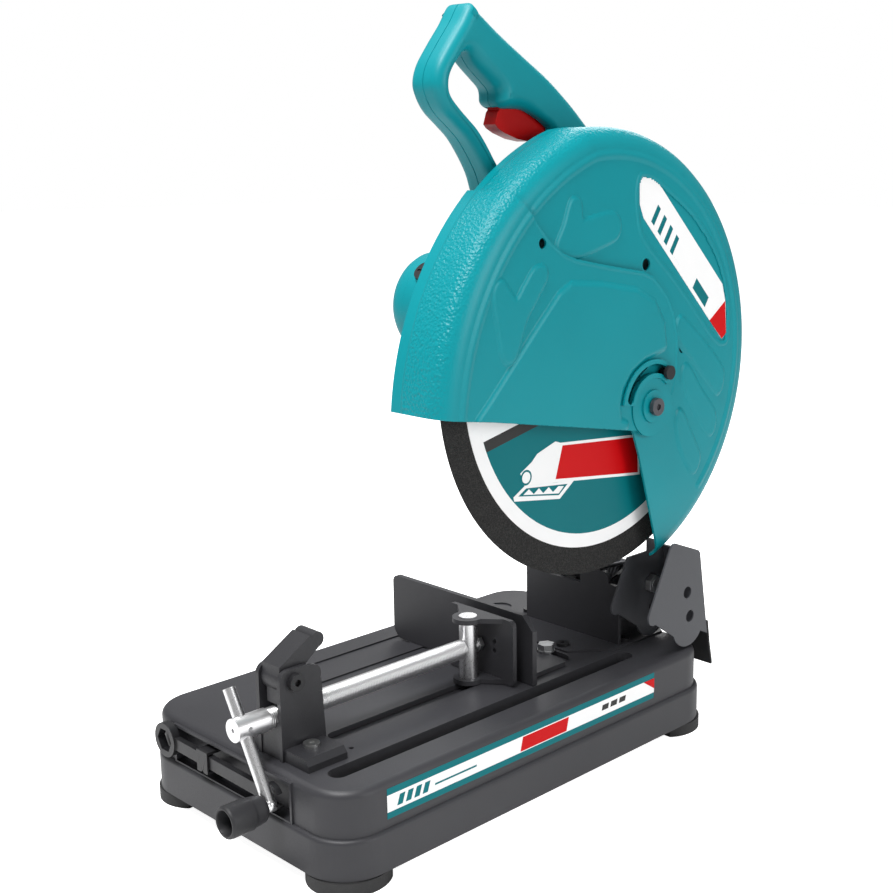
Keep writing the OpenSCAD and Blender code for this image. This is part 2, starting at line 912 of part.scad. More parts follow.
module motor_end() {
    color("#12868b")
    difference() {
        translate([0, motor_y, motor_z])
            rotate([0, -90, 0])
                rotate_extrude()
                    polygon([[0, 122], [50, 122], [50, 129], [49, 134], [46.5, 139],
                        [43.5, 143], [39.5, 146], [0, 146]]);
        ring_x(45.8, 12, -129, -121.5, motor_y, motor_z);
        ring_x(36, 12, -139, -128.5, motor_y, motor_z);
        rod_x(12.5, -123, -121, motor_y, motor_z);
        rod_x(8, -143, -130, motor_y, motor_z);
        rod_x(4.6, -131, -120, motor_y, motor_z);
        for (i = [-3:3])
            block(-150, -130, motor_y - 26 + abs(i) * 3, motor_y + 26 - abs(i) * 3,
                motor_z + i * 9 - 1.6, motor_z + i * 9 + 1.6);
        for (a = [45, 135, 225, 315])
            rod_x(2.2, -160, -120, motor_y + 40.5 * cos(a), motor_z + 40.5 * sin(a));
    }
}

module motor_screws() {
    color("#2a2b2e")
    for (a = [45, 135, 225, 315]) {
        rod_x(2.15, -139, -126, motor_y + 40.5 * cos(a), motor_z + 40.5 * sin(a));
    }
}

module brush_caps() {
    color("#1a1b1d")
    for (a = brush_angles)
        translate([0, motor_y, motor_z])
            rotate([a, 0, 0])
                difference() {
                    union() {
                        rod_z(6.9, 44, 53, brush_x, 0);
                        rod_z(9, 52.6, 55, brush_x, 0);
                    }
                    block(brush_x - 6, brush_x + 6, -1, 1, 53.8, 60);
                }
}

module brushes() {
    color("#3b3b3d")
    for (a = brush_angles)
        translate([0, motor_y, motor_z])
            rotate([a, 0, 0])
                block(brush_x - 4, brush_x + 4, -3.2, 3.2, 12.4, 43.9);
}

// ---------- fixed guard ----------
fixed_in = swing_r - 2.8;
module guard_shell_cut() {
    // region in front of and below the fixed guard
    along_x(0, 140)
        polygon([polar(pivot_c, 300, 132.5), polar(pivot_c, 205, 132.5), [52, 424],
            [118, 402], [150, 372], [154, 352], [142, 334], [124, 322], [116, 305], [119, 290],
            [125.2, 279.7], [133.1, 259.1], [143.4, 225.4], [158.2, 177.2], [162, 168],
            [168, 140], [100, 90], [-250, 90], [-250, 500]]);
}

label_recess = [[125.4, 484], [131, 494], [147, 492], [164, 482.9], [203.4, 458.7],
    [237.3, 423.7], [253.6, 388.1], [256, 352.6], [249.3, 344], [232.1, 352.4],
    [181.9, 400.4], [135.6, 440.3], [126.5, 462]];
face_ribs = [
    [[30.9, 440.6], [38.8, 455.2], [45.5, 472], [50.5, 475], [55, 471], [57.5, 458],
        [76.4, 460.3], [95, 462], [102, 455], [99, 446], [83.4, 440.4], [53.5, 433.1],
        [38, 435]],
    [[184, 371], [192, 368], [216.4, 349.2], [244.7, 323.6], [247.8, 310.6], [243, 301.5],
        [234.8, 307], [204.8, 335.5], [183, 357]],
    [[193, 329], [199, 326], [214, 307.1], [235.8, 283.9], [237, 271], [230.3, 266],
        [210.7, 287.4], [193.6, 312.1], [190.5, 322]],
    [[185, 290], [190, 288], [199, 273.9], [214.3, 248.7], [213.5, 238.7], [206.6, 235],
        [191.6, 254.9], [183.5, 278.7]]];
face_holes = [[138.5, 420.7, 5], [163.8, 385.2, 3.5], [189.5, 346.3, 4.5]];

module guard_fixed() {
    color("#12868b")
    difference() {
        union() {
            intersection() {
                drum(guard_r, fixed_x0, face_x, rim_edge, spindle_y, spindle_z);
                drum(fixed_in, fixed_x0 - 5, face_x, rim_edge, pivot_y, pivot_z);
            }
            // stiffening ribs pressed out of the face
            for (p = face_ribs)
                along_x(face_x - 1, face_x + 1.5)
                    polygon(smooth(p));
        }
        intersection() {
            drum(guard_r - sheet, fixed_x0 + 2.5, face_x - sheet, rim_edge - sheet, spindle_y,
                spindle_z);
            drum(fixed_in - sheet, fixed_x0 - 6, face_x - sheet, rim_edge - sheet, pivot_y,
                pivot_z);
        }
        // front opening: the back plate reaches further forward than the face
        difference() {
            guard_shell_cut();
            along_x(0, fixed_x0 + 2.5)
                polygon([[60, 290], [150, 270], [300, 300], [300, 600], [-20, 600],
                    polar(pivot_c, 236, 131), [20, 440]]);
        }
        // the rim stops short of the spark deflector
        block(fixed_x0 - 1, 92, 120, 260, 100, 184);
        rod_x(27.5, 50, 70, spindle_y, spindle_z);
        for (a = guard_screw_angles)
            rod_x(2.7, 50, 70, spindle_y + 38 * cos(a), spindle_z + 38 * sin(a));
        rod_x(5, 90, 120, pivot_y, pivot_z);
        rod_x(3, 90, 120, lock_c[0], lock_c[1]);
        for (h = face_holes)
            rod_x(h[2], 90, 120, h[0], h[1]);
        // shallow seat for the label
        along_x(face_x - 0.7, face_x + 5)
            polygon(smooth(label_recess));
    }
}

lock_c = polar(pivot_c, lock_r, lock_ang);

// ---------- swinging guard ----------
module swing_outline() {
    polygon([polar(pivot_c, 300, 131), polar(pivot_c, 222, 131.6), [2, 460.7], [15.7, 446.7],
        [31.4, 435.8], [47.5, 430.3], [87.6, 422.7], [130.1, 415.7], [143, 411], [152.6, 403],
        [163, 393], [170.3, 381], [176.6, 362], [177.5, 338.7], [174.4, 316], [166, 299],
        [155.8, 288], [143, 281.5], [130, 282], [-45.1, 314.7], [-110, 325], [-200, 339],
        [-200, 500]]);
}

panel = [[-57.6, 317.3], [-45, 329], [0.7, 375], [29, 402.6], [41.6, 409], [78.1, 405.7],
    [120.2, 398.2], [142.4, 387.3], [154.1, 369.9], [157, 352], [148, 350], [131, 347],
    [113, 338], [101, 324], [97, 309], [99, 294], [108, 290], [100, 289]];
chevron = [[-40.5, 413], [-35.5, 417], [-30, 412], [-20, 401.5], [-10.8, 411], [0, 423.5],
    [9.6, 425], [11.5, 418.5], [2.9, 406.5], [-9.4, 390.6], [-16, 376], [-22, 362.4],
    [-28, 359.2], [-33.5, 364], [-37.5, 384.7], [-41.6, 404]];

module guard_swing() {
    color("#12868b")
    difference() {
        union() {
            difference() {
                intersection() {
                    drum(swing_r, swing_x0, swing_face, rim_edge, pivot_y, pivot_z);
                    along_x(0, 140)
                        swing_outline();
                }
                drum(swing_r - sheet, swing_x0 + sheet, swing_face - sheet, rim_edge - sheet,
                    pivot_y, pivot_z);
                rod_x(swing_r - 9, swing_x0 - 5, swing_x0 + 5, pivot_y, pivot_z);
            }
            // raised panel, rib and pivot boss of the face
            along_x(swing_face - 1, swing_face + 2.2)
                polygon(panel);
            along_x(swing_face - 1, swing_face + 1.6)
                polygon(smooth(chevron));
            rod_x(26, swing_face - 1, swing_face + 1.2, pivot_y, pivot_z);
            rod_x(14, swing_face - 1, swing_face + 3, pivot_y, pivot_z);
            difference() {
                rod_x(lock_r + 8, swing_face - 1, swing_face + 3, pivot_y, pivot_z);
                rod_x(lock_r - 8, swing_face - 2, swing_face + 5, pivot_y, pivot_z);
                along_x(swing_face - 2, swing_face + 5)
                    polygon([pivot_c, polar(pivot_c, 90, 172), polar(pivot_c, 90, 230),
                        polar(pivot_c, 90, 290), polar(pivot_c, 90, 350),
                        polar(pivot_c, 90, 404)]);
            }
        }
        rod_x(5 + run, 90, 120, pivot_y, pivot_z);
        // arc slot for the lock screw
        translate([90, pivot_y, pivot_z])
            rotate([0, 90, 0])
                rotate([0, 0, lock_ang + 90 - 3])
                    rotate_extrude(angle = 108)
                        translate([lock_r - 3.9, 0])
                            square([7.8, 40]);
        for (a = [lock_ang - 3, lock_ang + 105])
            rod_x(3.9, 90, 130, pivot_y + lock_r * cos(a), pivot_z + lock_r * sin(a));
        rod_x(4, 90, 120, 9.6, 443.8);
    }
}

module guard_pivot() {
    color("#3b3d42")
    difference() {
        union() {
            rod_x(5, face_x - 8, swing_face + 4.2, pivot_y, pivot_z);
            rod_x(7.5, swing_face + 3.9, swing_face + 8, pivot_y, pivot_z);
            hex_x(13, face_x - 8.5, face_x - sheet - 0.05, pivot_y, pivot_z);
        }
        hex_x(5, swing_face + 6, swing_face + 10, pivot_y, pivot_z);
    }
}

module guard_lock() {
    color("#1f2022")
    union() {
        rod_x(3, face_x - 6, swing_face + 4.2, lock_c[0], lock_c[1]);
        rod_x(6, swing_face + 3.9, swing_face + 7, lock_c[0], lock_c[1]);
        hex_x(8, face_x - 6.5, face_x - sheet - 0.05, lock_c[0], lock_c[1]);
    }
}

// ---------- handle ----------
handle_rim = [[0, 620.5], [-10.6, 606], [-23.8, 589.5], [-34, 575], [-37.9, 562],
    [-35.3, 551.6], [-27.8, 540.4], [-14.8, 530], [-3.5, 520.6], [7.7, 506.6], [16, 493.2],
    [20.8, 479.9], [25, 468], [34, 464], [90, 464], [152, 464], [163, 470], [167, 486],
    [163, 502], [148, 519], [127.5, 537], [110.6, 551], [85.4, 569], [57.9, 584.8],
    [31.6, 600], [8.5, 615]];
finger_rim = [[-3, 586], [-14, 579.5], [-22.3, 569], [-24.6, 560], [-22.6, 552.5],
    [-14.3, 544], [0.5, 531.5], [12.4, 518.5], [21.5, 506.7], [30, 497], [42, 492.5],
    [62, 494], [82, 504], [92, 516], [93, 525], [84, 533], [70, 540], [58, 544], [46, 544.3],
    [35.5, 544.6], [30.3, 549], [29, 558], [21, 565], [8, 575]];
handle_screw_p = [[-31, 561], [13.5, 508], [140, 512], [134, 474], [104, 544], [-3, 602]];

module handle_half(x0, x1) {
    difference() {
        along_x(x0, x1)
            difference() {
                polygon(smooth(handle_rim, 5));
                polygon(smooth(finger_rim, 5));
            }
        // room for the trigger, the switch, the saddle and the gland
        block(grip_x - 7.2, grip_x + 7.2, 33.5, 96, 522, 555.7);
        block(grip_x - 10, grip_x + 10, 42, 66, 555.6, 573);
        block(grip_x - 14.3, grip_x + 14.3, 10, 175, 455, 478.3);
        rod_x(3.14, grip_x - 11.5, grip_x + 11.5, trigger_y, trigger_z);
        rod_y(9, 140, 190, grip_x, 493);
        for (p = handle_screw_p)
            rod_x(2.1, -10, 60, p[0], p[1]);
    }
}

module handle_left() {
    color("#12868b")
    handle_half(grip_x - grip_w / 2, grip_x - 0.05);
}

module handle_right() {
    color("#12868b")
    handle_half(grip_x + 0.05, grip_x + grip_w / 2);
}

module handle_screws() {
    color("#2a2b2e")
    for (p = handle_screw_p)
        rod_x(2.05, grip_x - 15, grip_x + 15, p[0], p[1]);
}

module trigger() {
    color("#c0161c")
    difference() {
        along_x(grip_x - 6.8, grip_x + 6.8)
            union() {
                translate([trigger_y, trigger_z])
                    circle(6.4);
                polygon([[31, 532.5], [34, 541.5], [35.8, 543.6], [36.4, 549], [60, 549.5],
                    [86, 543], [90, 532], [86, 525.5], [69, 519.6], [55, 521.6], [41, 526],
                    [34, 529.5]]);
            }
        rod_x(3.2, 0, 60, trigger_y, trigger_z);
    }
}

module switch() {
    color("#232427")
    block(grip_x - 9.9, grip_x + 9.9, 42.1, 65.9, 556, 572.9);
}

module trigger_pin() {
    color("#9fa2a6")
    rod_x(3.14, grip_x - 11.4, grip_x + 11.4, trigger_y, trigger_z);
}

module cord_gland() {
    color("#17181a")
    difference() {
        union() {
            rod_y(8.9, 150, 178, grip_x, 493);
            rod_y(11, 168.5, 176, grip_x, 493);
            for (y = [180, 185])
                rod_y(8, y - 1, y + 1.5, grip_x, 493);
            rod_y(6.8, 176, 190, grip_x, 493);
        }
        rod_y(4, 140, 200, grip_x, 493);
    }
}

// ---------- spark deflector ----------
module deflector_outline() {
    difference() {
        union() {
            polygon([[132.2, 120], [161, 175], [164, 178], [168, 178], [201, 165],
                [203.6, 162], [217, 83], [203, 90], [187, 94], [168, 92], [141, 110.6]]);
            translate([138.6, 117.2])
                circle(7);
            translate([188, 101])
                circle(22.5);
        }
        translate([186, 129])
            circle(5.5);
        translate([190.3, 106])
            circle(3.4);
    }
}

module deflector() {
    color("#66686d")
    difference() {
        union() {
            along_x(74.2, 76)
                deflector_outline();
            along_x(116.2, 118)
                difference() {
                    deflector_outline();
                    translate([190.3, 106])
                        circle(5.5);
                }
            // rear wall between the cheeks
            along_x(74.2, 118)
                polygon([[203.6, 162], [201.8, 161.5], [215.2, 83.4], [217, 83]]);
        }
        block(60, 90, 120, 181, 160, 190);
    }
}

module deflector_screw() {
    color("#26272a")
    union() {
        rod_x(3.1, 50, 78, 190.3, 106);
        rod_x(5.4, 76, 79, 190.3, 106);
        ring_x(6.5, 3.1, 58.05, 74.15, 190.3, 106);
        hex_x(10, 48, 53.95, 190.3, 106);
    }
}

module flap() {
    color("#141416")
    along_x(77, 118.4)
        polygon([[215.3, 95], [217.6, 95], [219.3, 84], [221.5, 70], [225.5, 52],
            [224, 51], [219.5, 69], [217.4, 83]]);
}

base();
foot(1, -1);  // foot_front_right
foot(-1, -1);  // foot_front_left
foot(1, 1);  // foot_rear_right
foot(-1, 1);  // foot_rear_left
foot_screws();
spanner();
spanner_clip();
vise_bracket();
bracket_screws();
release_lever();
lever_bolt();
vise_screw();
crank_bar();
crank_grip();
jaw_pin();
screw_retainer();
jaw();
fence();
fence_bolts();
turret();
turret_screws();
hinge_bolt();
hinge_nut();
hinge_bushes();
return_spring();
depth_stop();
gear_head();
guard_fixed();
guard_swing();
guard_pivot();
guard_lock();
guard_screws();
wheel();
wheel_label();
flange_inner();
flange_outer();
arbor_bolt();
spindle();
spindle_bearing();
gear();
armature();
motor_bearings();
fan();
stator();
motor_case();
motor_end();
motor_screws();
brush_caps();
brushes();
handle_left();
handle_right();
handle_screws();
trigger();
trigger_pin();
switch();
cord_gland();
deflector();
deflector_screw();
flap();
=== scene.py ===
# %% [markdown]
# An abrasive chop saw: a pressed steel base with a screw vise, and a hinged head that
# carries a motor and a guarded cutting wheel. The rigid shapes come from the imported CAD
# model, which stays where it is. This script gives them finishes, lays the pressed relief
# over the guards, rebuilds the moulded handle with soft edges, and adds the printed labels.

# %% Load the fixed frame
import math

import bpy
import bmesh
import numpy as np
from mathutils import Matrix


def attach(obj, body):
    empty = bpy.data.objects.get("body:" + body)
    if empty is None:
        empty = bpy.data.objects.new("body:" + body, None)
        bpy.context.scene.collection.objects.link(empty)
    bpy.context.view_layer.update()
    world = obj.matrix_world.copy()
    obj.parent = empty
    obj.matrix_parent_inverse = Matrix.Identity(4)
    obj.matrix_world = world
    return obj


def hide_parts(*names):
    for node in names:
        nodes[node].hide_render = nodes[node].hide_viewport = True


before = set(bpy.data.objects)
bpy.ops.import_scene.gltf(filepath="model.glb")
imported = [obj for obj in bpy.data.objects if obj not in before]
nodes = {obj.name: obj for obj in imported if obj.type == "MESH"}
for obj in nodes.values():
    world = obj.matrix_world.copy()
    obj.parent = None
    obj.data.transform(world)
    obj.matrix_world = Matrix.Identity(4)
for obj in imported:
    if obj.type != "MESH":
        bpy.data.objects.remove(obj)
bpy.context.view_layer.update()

# %% [markdown]
# The camera stands in front of the saw's right corner, a little above it, as a
# catalogue photographer would. Its lens is a normal one, so lines converge gently.

# %% Camera
def add_camera(place, azimuth, elevation, lens, shift):
    """Looks along (-sin az cos el, cos az cos el, -sin el) from place."""
    cam = bpy.data.cameras.new("camera")
    cam.lens = lens
    cam.sensor_width = 36.0
    cam.shift_x, cam.shift_y = shift
    cam.clip_start = 0.05
    cam.clip_end = 30
    obj = bpy.data.objects.new("camera", cam)
    obj.location = place
    obj.rotation_euler = (math.radians(90 - elevation), 0, math.radians(azimuth))
    bpy.context.scene.collection.objects.link(obj)
    bpy.context.scene.camera = obj
    return obj


camera = add_camera((0.803652, -0.727057, 0.506155), 43.075, 12.0, 53.94, (-0.1152, -0.004))
print("camera", tuple(round(v, 3) for v in camera.location))

# %% [markdown]
# A studio floor is one pale sheet that glows, but only where it is looked at, so it stays
# white up to the horizon and throws no light of its own on the saw. Four soft lamps stand
# above the front, to the right, above the left and behind: the paint shows broad highlights
# and the black parts keep a bright edge. The world is white to look at but gives little
# light, because too much of it would wash the colours out.

# %% Floor and lights
def plain_material(name, colour, rough):
    m = bpy.data.materials.new(name)
    m.use_nodes = True
    b = m.node_tree.nodes["Principled BSDF"]
    b.inputs["Base Color"].default_value = (*colour, 1)
    b.inputs["Roughness"].default_value = rough
    return m


def add_floor(size):
    """A flat square of the given half size at z = 0."""
    me = bpy.data.meshes.new("floor")
    me.from_pydata([(-size, -size, 0), (size, -size, 0), (size, size, 0), (-size, size, 0)],
                   [], [(0, 1, 2, 3)])
    o = bpy.data.objects.new("floor", me)
    bpy.context.scene.collection.objects.link(o)
    m = plain_material("studio_floor", (0.88, 0.88, 0.88), 0.85)
    t = m.node_tree
    b = t.nodes["Principled BSDF"]
    ray = t.nodes.new("ShaderNodeLightPath")
    b.inputs["Emission Strength"].default_value = 0.9
    t.links.new(ray.outputs["Is Camera Ray"], b.inputs["Emission Color"])
    me.materials.append(m)


def add_lamp(name, place, target, size, power):
    """A square area lamp at place that faces target."""
    lamp = bpy.data.lights.new(name, "AREA")
    lamp.size = size
    lamp.energy = power
    o = bpy.data.objects.new(name, lamp)
    o.location = place
    d = np.array(target, float) - np.array(place, float)
    d = d / np.linalg.norm(d)
    o.rotation_euler = (math.acos(-d[2]), 0, math.atan2(d[1], d[0]) - math.pi / 2)
    bpy.context.scene.collection.objects.link(o)


def add_world(fill):
    """White where the camera looks past the floor, and a soft fill of the given strength."""
    w = bpy.data.worlds.new("studio")
    w.use_nodes = True
    t = w.node_tree
    back = t.nodes["Background"]
    back.inputs[0].default_value = (1, 1, 1, 1)
    ray = t.nodes.new("ShaderNodeLightPath")
    level = t.nodes.new("ShaderNodeMapRange")
    level.inputs["To Min"].default_value = fill
    level.inputs["To Max"].default_value = 1.0
    t.links.new(ray.outputs["Is Camera Ray"], level.inputs["Value"])
    t.links.new(level.outputs["Result"], back.inputs[1])
    bpy.context.scene.world = w


add_floor(12.0)
add_lamp("key", (0.30, -1.15, 2.65), (0, 0, 0.38), 0.7, 76)
add_lamp("side", (2.2, 0.5, 0.9), (0, 0, 0.3), 0.9, 17)
add_lamp("top", (-0.6, -0.3, 2.4), (0, 0, 0.2), 1.0, 30)
add_lamp("back", (-1.2, 1.9, 1.6), (0, 0, 0.3), 1.2, 16)
add_world(0.34)
bpy.context.scene.view_settings.view_transform = "Standard"
print("lamps ready")

# %% [markdown]
# Finishes share two effects: a fine grain, and a soft blotch of dust or handling. Each is a
# node group with named inputs, used again and again with different numbers, which keeps the
# look of the parts related.

# %% Shared effects
def new_group(name, inputs, outputs):
    g = bpy.data.node_groups.new(name, "ShaderNodeTree")
    for label, kind, value in inputs:
        s = g.interface.new_socket(name=label, in_out="INPUT", socket_type=kind)
        if value is not None:
            s.default_value = value
    for label, kind in outputs:
        g.interface.new_socket(name=label, in_out="OUTPUT", socket_type=kind)
    return g, g.nodes.new("NodeGroupInput"), g.nodes.new("NodeGroupOutput")


def grain_group():
    """Noise at one scale, pushed towards its ends: a value from 0 to 1 for bump height."""
    g, i, o = new_group("fine_grain", [("Vector", "NodeSocketVector", None),
                                       ("Scale", "NodeSocketFloat", 600.0),
                                       ("Contrast", "NodeSocketFloat", 1.5)],
                        [("Value", "NodeSocketFloat")])
    n = g.nodes.new("ShaderNodeTexNoise")
    n.inputs["Detail"].default_value = 3.0
    m = g.nodes.new("ShaderNodeMath")
    m.operation = "SUBTRACT"
    m.inputs[1].default_value = 0.5
    k = g.nodes.new("ShaderNodeMath")
    k.operation = "MULTIPLY_ADD"
    k.inputs[2].default_value = 0.5
    k.use_clamp = True
    g.links.new(i.outputs["Vector"], n.inputs["Vector"])
    g.links.new(i.outputs["Scale"], n.inputs["Scale"])
    g.links.new(n.outputs["Fac"], m.inputs[0])
    g.links.new(m.outputs[0], k.inputs[0])
    g.links.new(i.outputs["Contrast"], k.inputs[1])
    g.links.new(k.outputs[0], o.inputs["Value"])
    return g


def blotch_group():
    """Two colours mixed by a broad soft noise, for handling marks and dust."""
    g, i, o = new_group("handling_marks", [("Vector", "NodeSocketVector", None),
                                           ("Colour", "NodeSocketColor", (0.5, 0.5, 0.5, 1)),
                                           ("Worn Colour", "NodeSocketColor", (0.6, 0.6, 0.6, 1)),
                                           ("Scale", "NodeSocketFloat", 12.0),
                                           ("Amount", "NodeSocketFloat", 0.3)],
                        [("Colour", "NodeSocketColor"), ("Mask", "NodeSocketFloat")])
    n = g.nodes.new("ShaderNodeTexNoise")
    n.inputs["Detail"].default_value = 5.0
    r = g.nodes.new("ShaderNodeMapRange")
    r.inputs["From Min"].default_value = 0.42
    r.inputs["From Max"].default_value = 0.72
    m = g.nodes.new("ShaderNodeMath")
    m.operation = "MULTIPLY"
    mix = g.nodes.new("ShaderNodeMix")
    mix.data_type = "RGBA"
    g.links.new(i.outputs["Vector"], n.inputs["Vector"])
    g.links.new(i.outputs["Scale"], n.inputs["Scale"])
    g.links.new(n.outputs["Fac"], r.inputs["Value"])
    g.links.new(r.outputs["Result"], m.inputs[0])
    g.links.new(i.outputs["Amount"], m.inputs[1])
    g.links.new(m.outputs[0], mix.inputs["Factor"])
    g.links.new(i.outputs["Colour"], mix.inputs["A"])
    g.links.new(i.outputs["Worn Colour"], mix.inputs["B"])
    g.links.new(mix.outputs["Result"], o.inputs["Colour"])
    g.links.new(m.outputs[0], o.inputs["Mask"])
    return g


GRAIN = grain_group()
BLOTCH = blotch_group()
print("groups:", GRAIN.name, BLOTCH.name)

# %% [markdown]
# One recipe then makes every finish: base colour with handling marks, roughness that
# varies a little, and a bump from the grain. Metals stretch the grain along the turning
# or brushing direction by scaling the coordinates before the noise.

# %% The finish recipe
def put(tree, group):
    n = tree.nodes.new("ShaderNodeGroup")
    n.node_tree = group
    return n


def finish(name, colour, worn=None, rough=0.5, metal=0.0, grain=600.0, bump=0.1, depth=0.0003,
           blotch=12.0, amount=0.3, rough_swing=0.08, stretch=(1, 1, 1), contrast=1.5, gloss=0.35):
    """Colour = mix(colour, worn, marks); roughness = rough + swing * (2 grain - 1), and the
    grain is the bump's height too."""
    m = bpy.data.materials.new(name)
    m.use_nodes = True
    t = m.node_tree
    b = t.nodes["Principled BSDF"]
    b.inputs["Metallic"].default_value = metal
    b.inputs["Specular IOR Level"].default_value = gloss
    worn = worn or tuple(min(1.0, c * 1.35 + 0.01) for c in colour)
    where = t.nodes.new("ShaderNodeTexCoord")
    turn = t.nodes.new("ShaderNodeMapping")
    turn.inputs["Scale"].default_value = stretch
    t.links.new(where.outputs["Object"], turn.inputs["Vector"])
    marks = put(t, BLOTCH)
    marks.inputs["Colour"].default_value = (*colour, 1)
    marks.inputs["Worn Colour"].default_value = (*worn, 1)
    marks.inputs["Scale"].default_value = blotch
    marks.inputs["Amount"].default_value = amount
    t.links.new(where.outputs["Object"], marks.inputs["Vector"])
    t.links.new(marks.outputs["Colour"], b.inputs["Base Color"])
    g = put(t, GRAIN)
    g.inputs["Scale"].default_value = grain
    g.inputs["Contrast"].default_value = contrast
    t.links.new(turn.outputs["Vector"], g.inputs["Vector"])
    swing = t.nodes.new("ShaderNodeMapRange")
    swing.inputs["To Min"].default_value = rough - rough_swing
    swing.inputs["To Max"].default_value = rough + rough_swing
    t.links.new(g.outputs["Value"], swing.inputs["Value"])
    t.links.new(swing.outputs["Result"], b.inputs["Roughness"])
    bp = t.nodes.new("ShaderNodeBump")
    bp.inputs["Strength"].default_value = bump
    bp.inputs["Distance"].default_value = depth
    t.links.new(g.outputs["Value"], bp.inputs["Height"])
    t.links.new(bp.outputs["Normal"], b.inputs["Normal"])
    return m


TEAL = (0.0005, 0.225, 0.262)
WORN_TEAL = (0.002, 0.255, 0.294)
powder = finish("charcoal_powder_coat", (0.030, 0.030, 0.034), (0.042, 0.042, 0.047), rough=0.46,
                grain=1400, bump=0.16, depth=0.0002, blotch=9, amount=0.5)
cast = finish("painted_casting", (0.022, 0.022, 0.025), (0.035, 0.035, 0.038), rough=0.42,
              grain=700, bump=0.22, depth=0.0003, blotch=16, amount=0.5)
moulded = finish("moulded_teal", TEAL, WORN_TEAL, rough=0.40, grain=1500, bump=0.12, depth=0.00015,
                 blotch=14, amount=0.45, gloss=0.22)
red_knob = finish("moulded_red", (0.47, 0.002, 0.002), (0.56, 0.004, 0.004), rough=0.32,
                  grain=1300, bump=0.1, depth=0.0001, amount=0.4, gloss=0.2)
black_moulding = finish("moulded_black", (0.016, 0.016, 0.018), (0.03, 0.03, 0.033), rough=0.5,
                        grain=1200, bump=0.2, depth=0.0002, amount=0.4)
foot_rubber = finish("foot_rubber", (0.02, 0.02, 0.021), (0.045, 0.045, 0.045), rough=0.7,
                     grain=900, bump=0.25, depth=0.0003, amount=0.5)
thin_rubber = finish("thin_rubber", (0.012, 0.012, 0.013), (0.03, 0.03, 0.03), rough=0.6,
                     grain=500, bump=0.2, depth=0.0004, amount=0.5)
bright = finish("turned_steel", (0.78, 0.78, 0.79), (0.62, 0.62, 0.62), rough=0.30, metal=1.0,
                grain=500, bump=0.1, depth=0.0001, stretch=(1, 6, 1), amount=0.4)
zinc = finish("zinc_plate", (0.52, 0.53, 0.54), (0.40, 0.40, 0.38), rough=0.36, metal=1.0,
              grain=900, bump=0.1, depth=0.0001, amount=0.6, blotch=60)
dark_steel = finish("blackened_steel", (0.09, 0.09, 0.10), (0.16, 0.16, 0.17), rough=0.4,
                    metal=0.8, grain=900, bump=0.12, depth=0.0002, amount=0.5)
black_oxide = finish("black_oxide", (0.016, 0.016, 0.018), (0.03, 0.03, 0.03), rough=0.35,
                     metal=0.2, grain=900, bump=0.1, depth=0.0001, amount=0.5, blotch=60)
grey_coat = finish("grey_sheet_coat", (0.055, 0.057, 0.064), (0.10, 0.10, 0.11), rough=0.40,
                   grain=1300, bump=0.15, depth=0.0002, amount=0.5)
bronze = finish("sintered_bronze", (0.45, 0.28, 0.12), rough=0.4, metal=1.0, grain=1200)
copper = finish("windings", (0.42, 0.2, 0.09), rough=0.4, metal=0.9, grain=300,
                stretch=(8, 1, 1), bump=0.4)
carbon = finish("pressed_carbon", (0.03, 0.03, 0.03), rough=0.6, grain=1500)
abrasive = finish("abrasive_grit", (0.014, 0.014, 0.014), (0.06, 0.058, 0.055), rough=0.85,
                  grain=1100, bump=0.9, depth=0.0008, blotch=700, amount=0.55, contrast=3.0)
print("finishes:", len(bpy.data.materials))

# %% [markdown]
# The guard is pressed steel under a glossy coat. Its flat face is smooth and its rim is
# hammered, so the hammering has to fade out where the surface faces sideways. The
# object's own normal tells the two apart, and cell noise makes the small dimples.

# %% Hammered guard coat
HAMMERED_FROM = (0.064, 0.068)
CREASE_UP = (0.0645, 0.0662, 0.0, 0.7)
CREASE_DOWN = (0.0664, 0.0684, 0.7, 0.0)


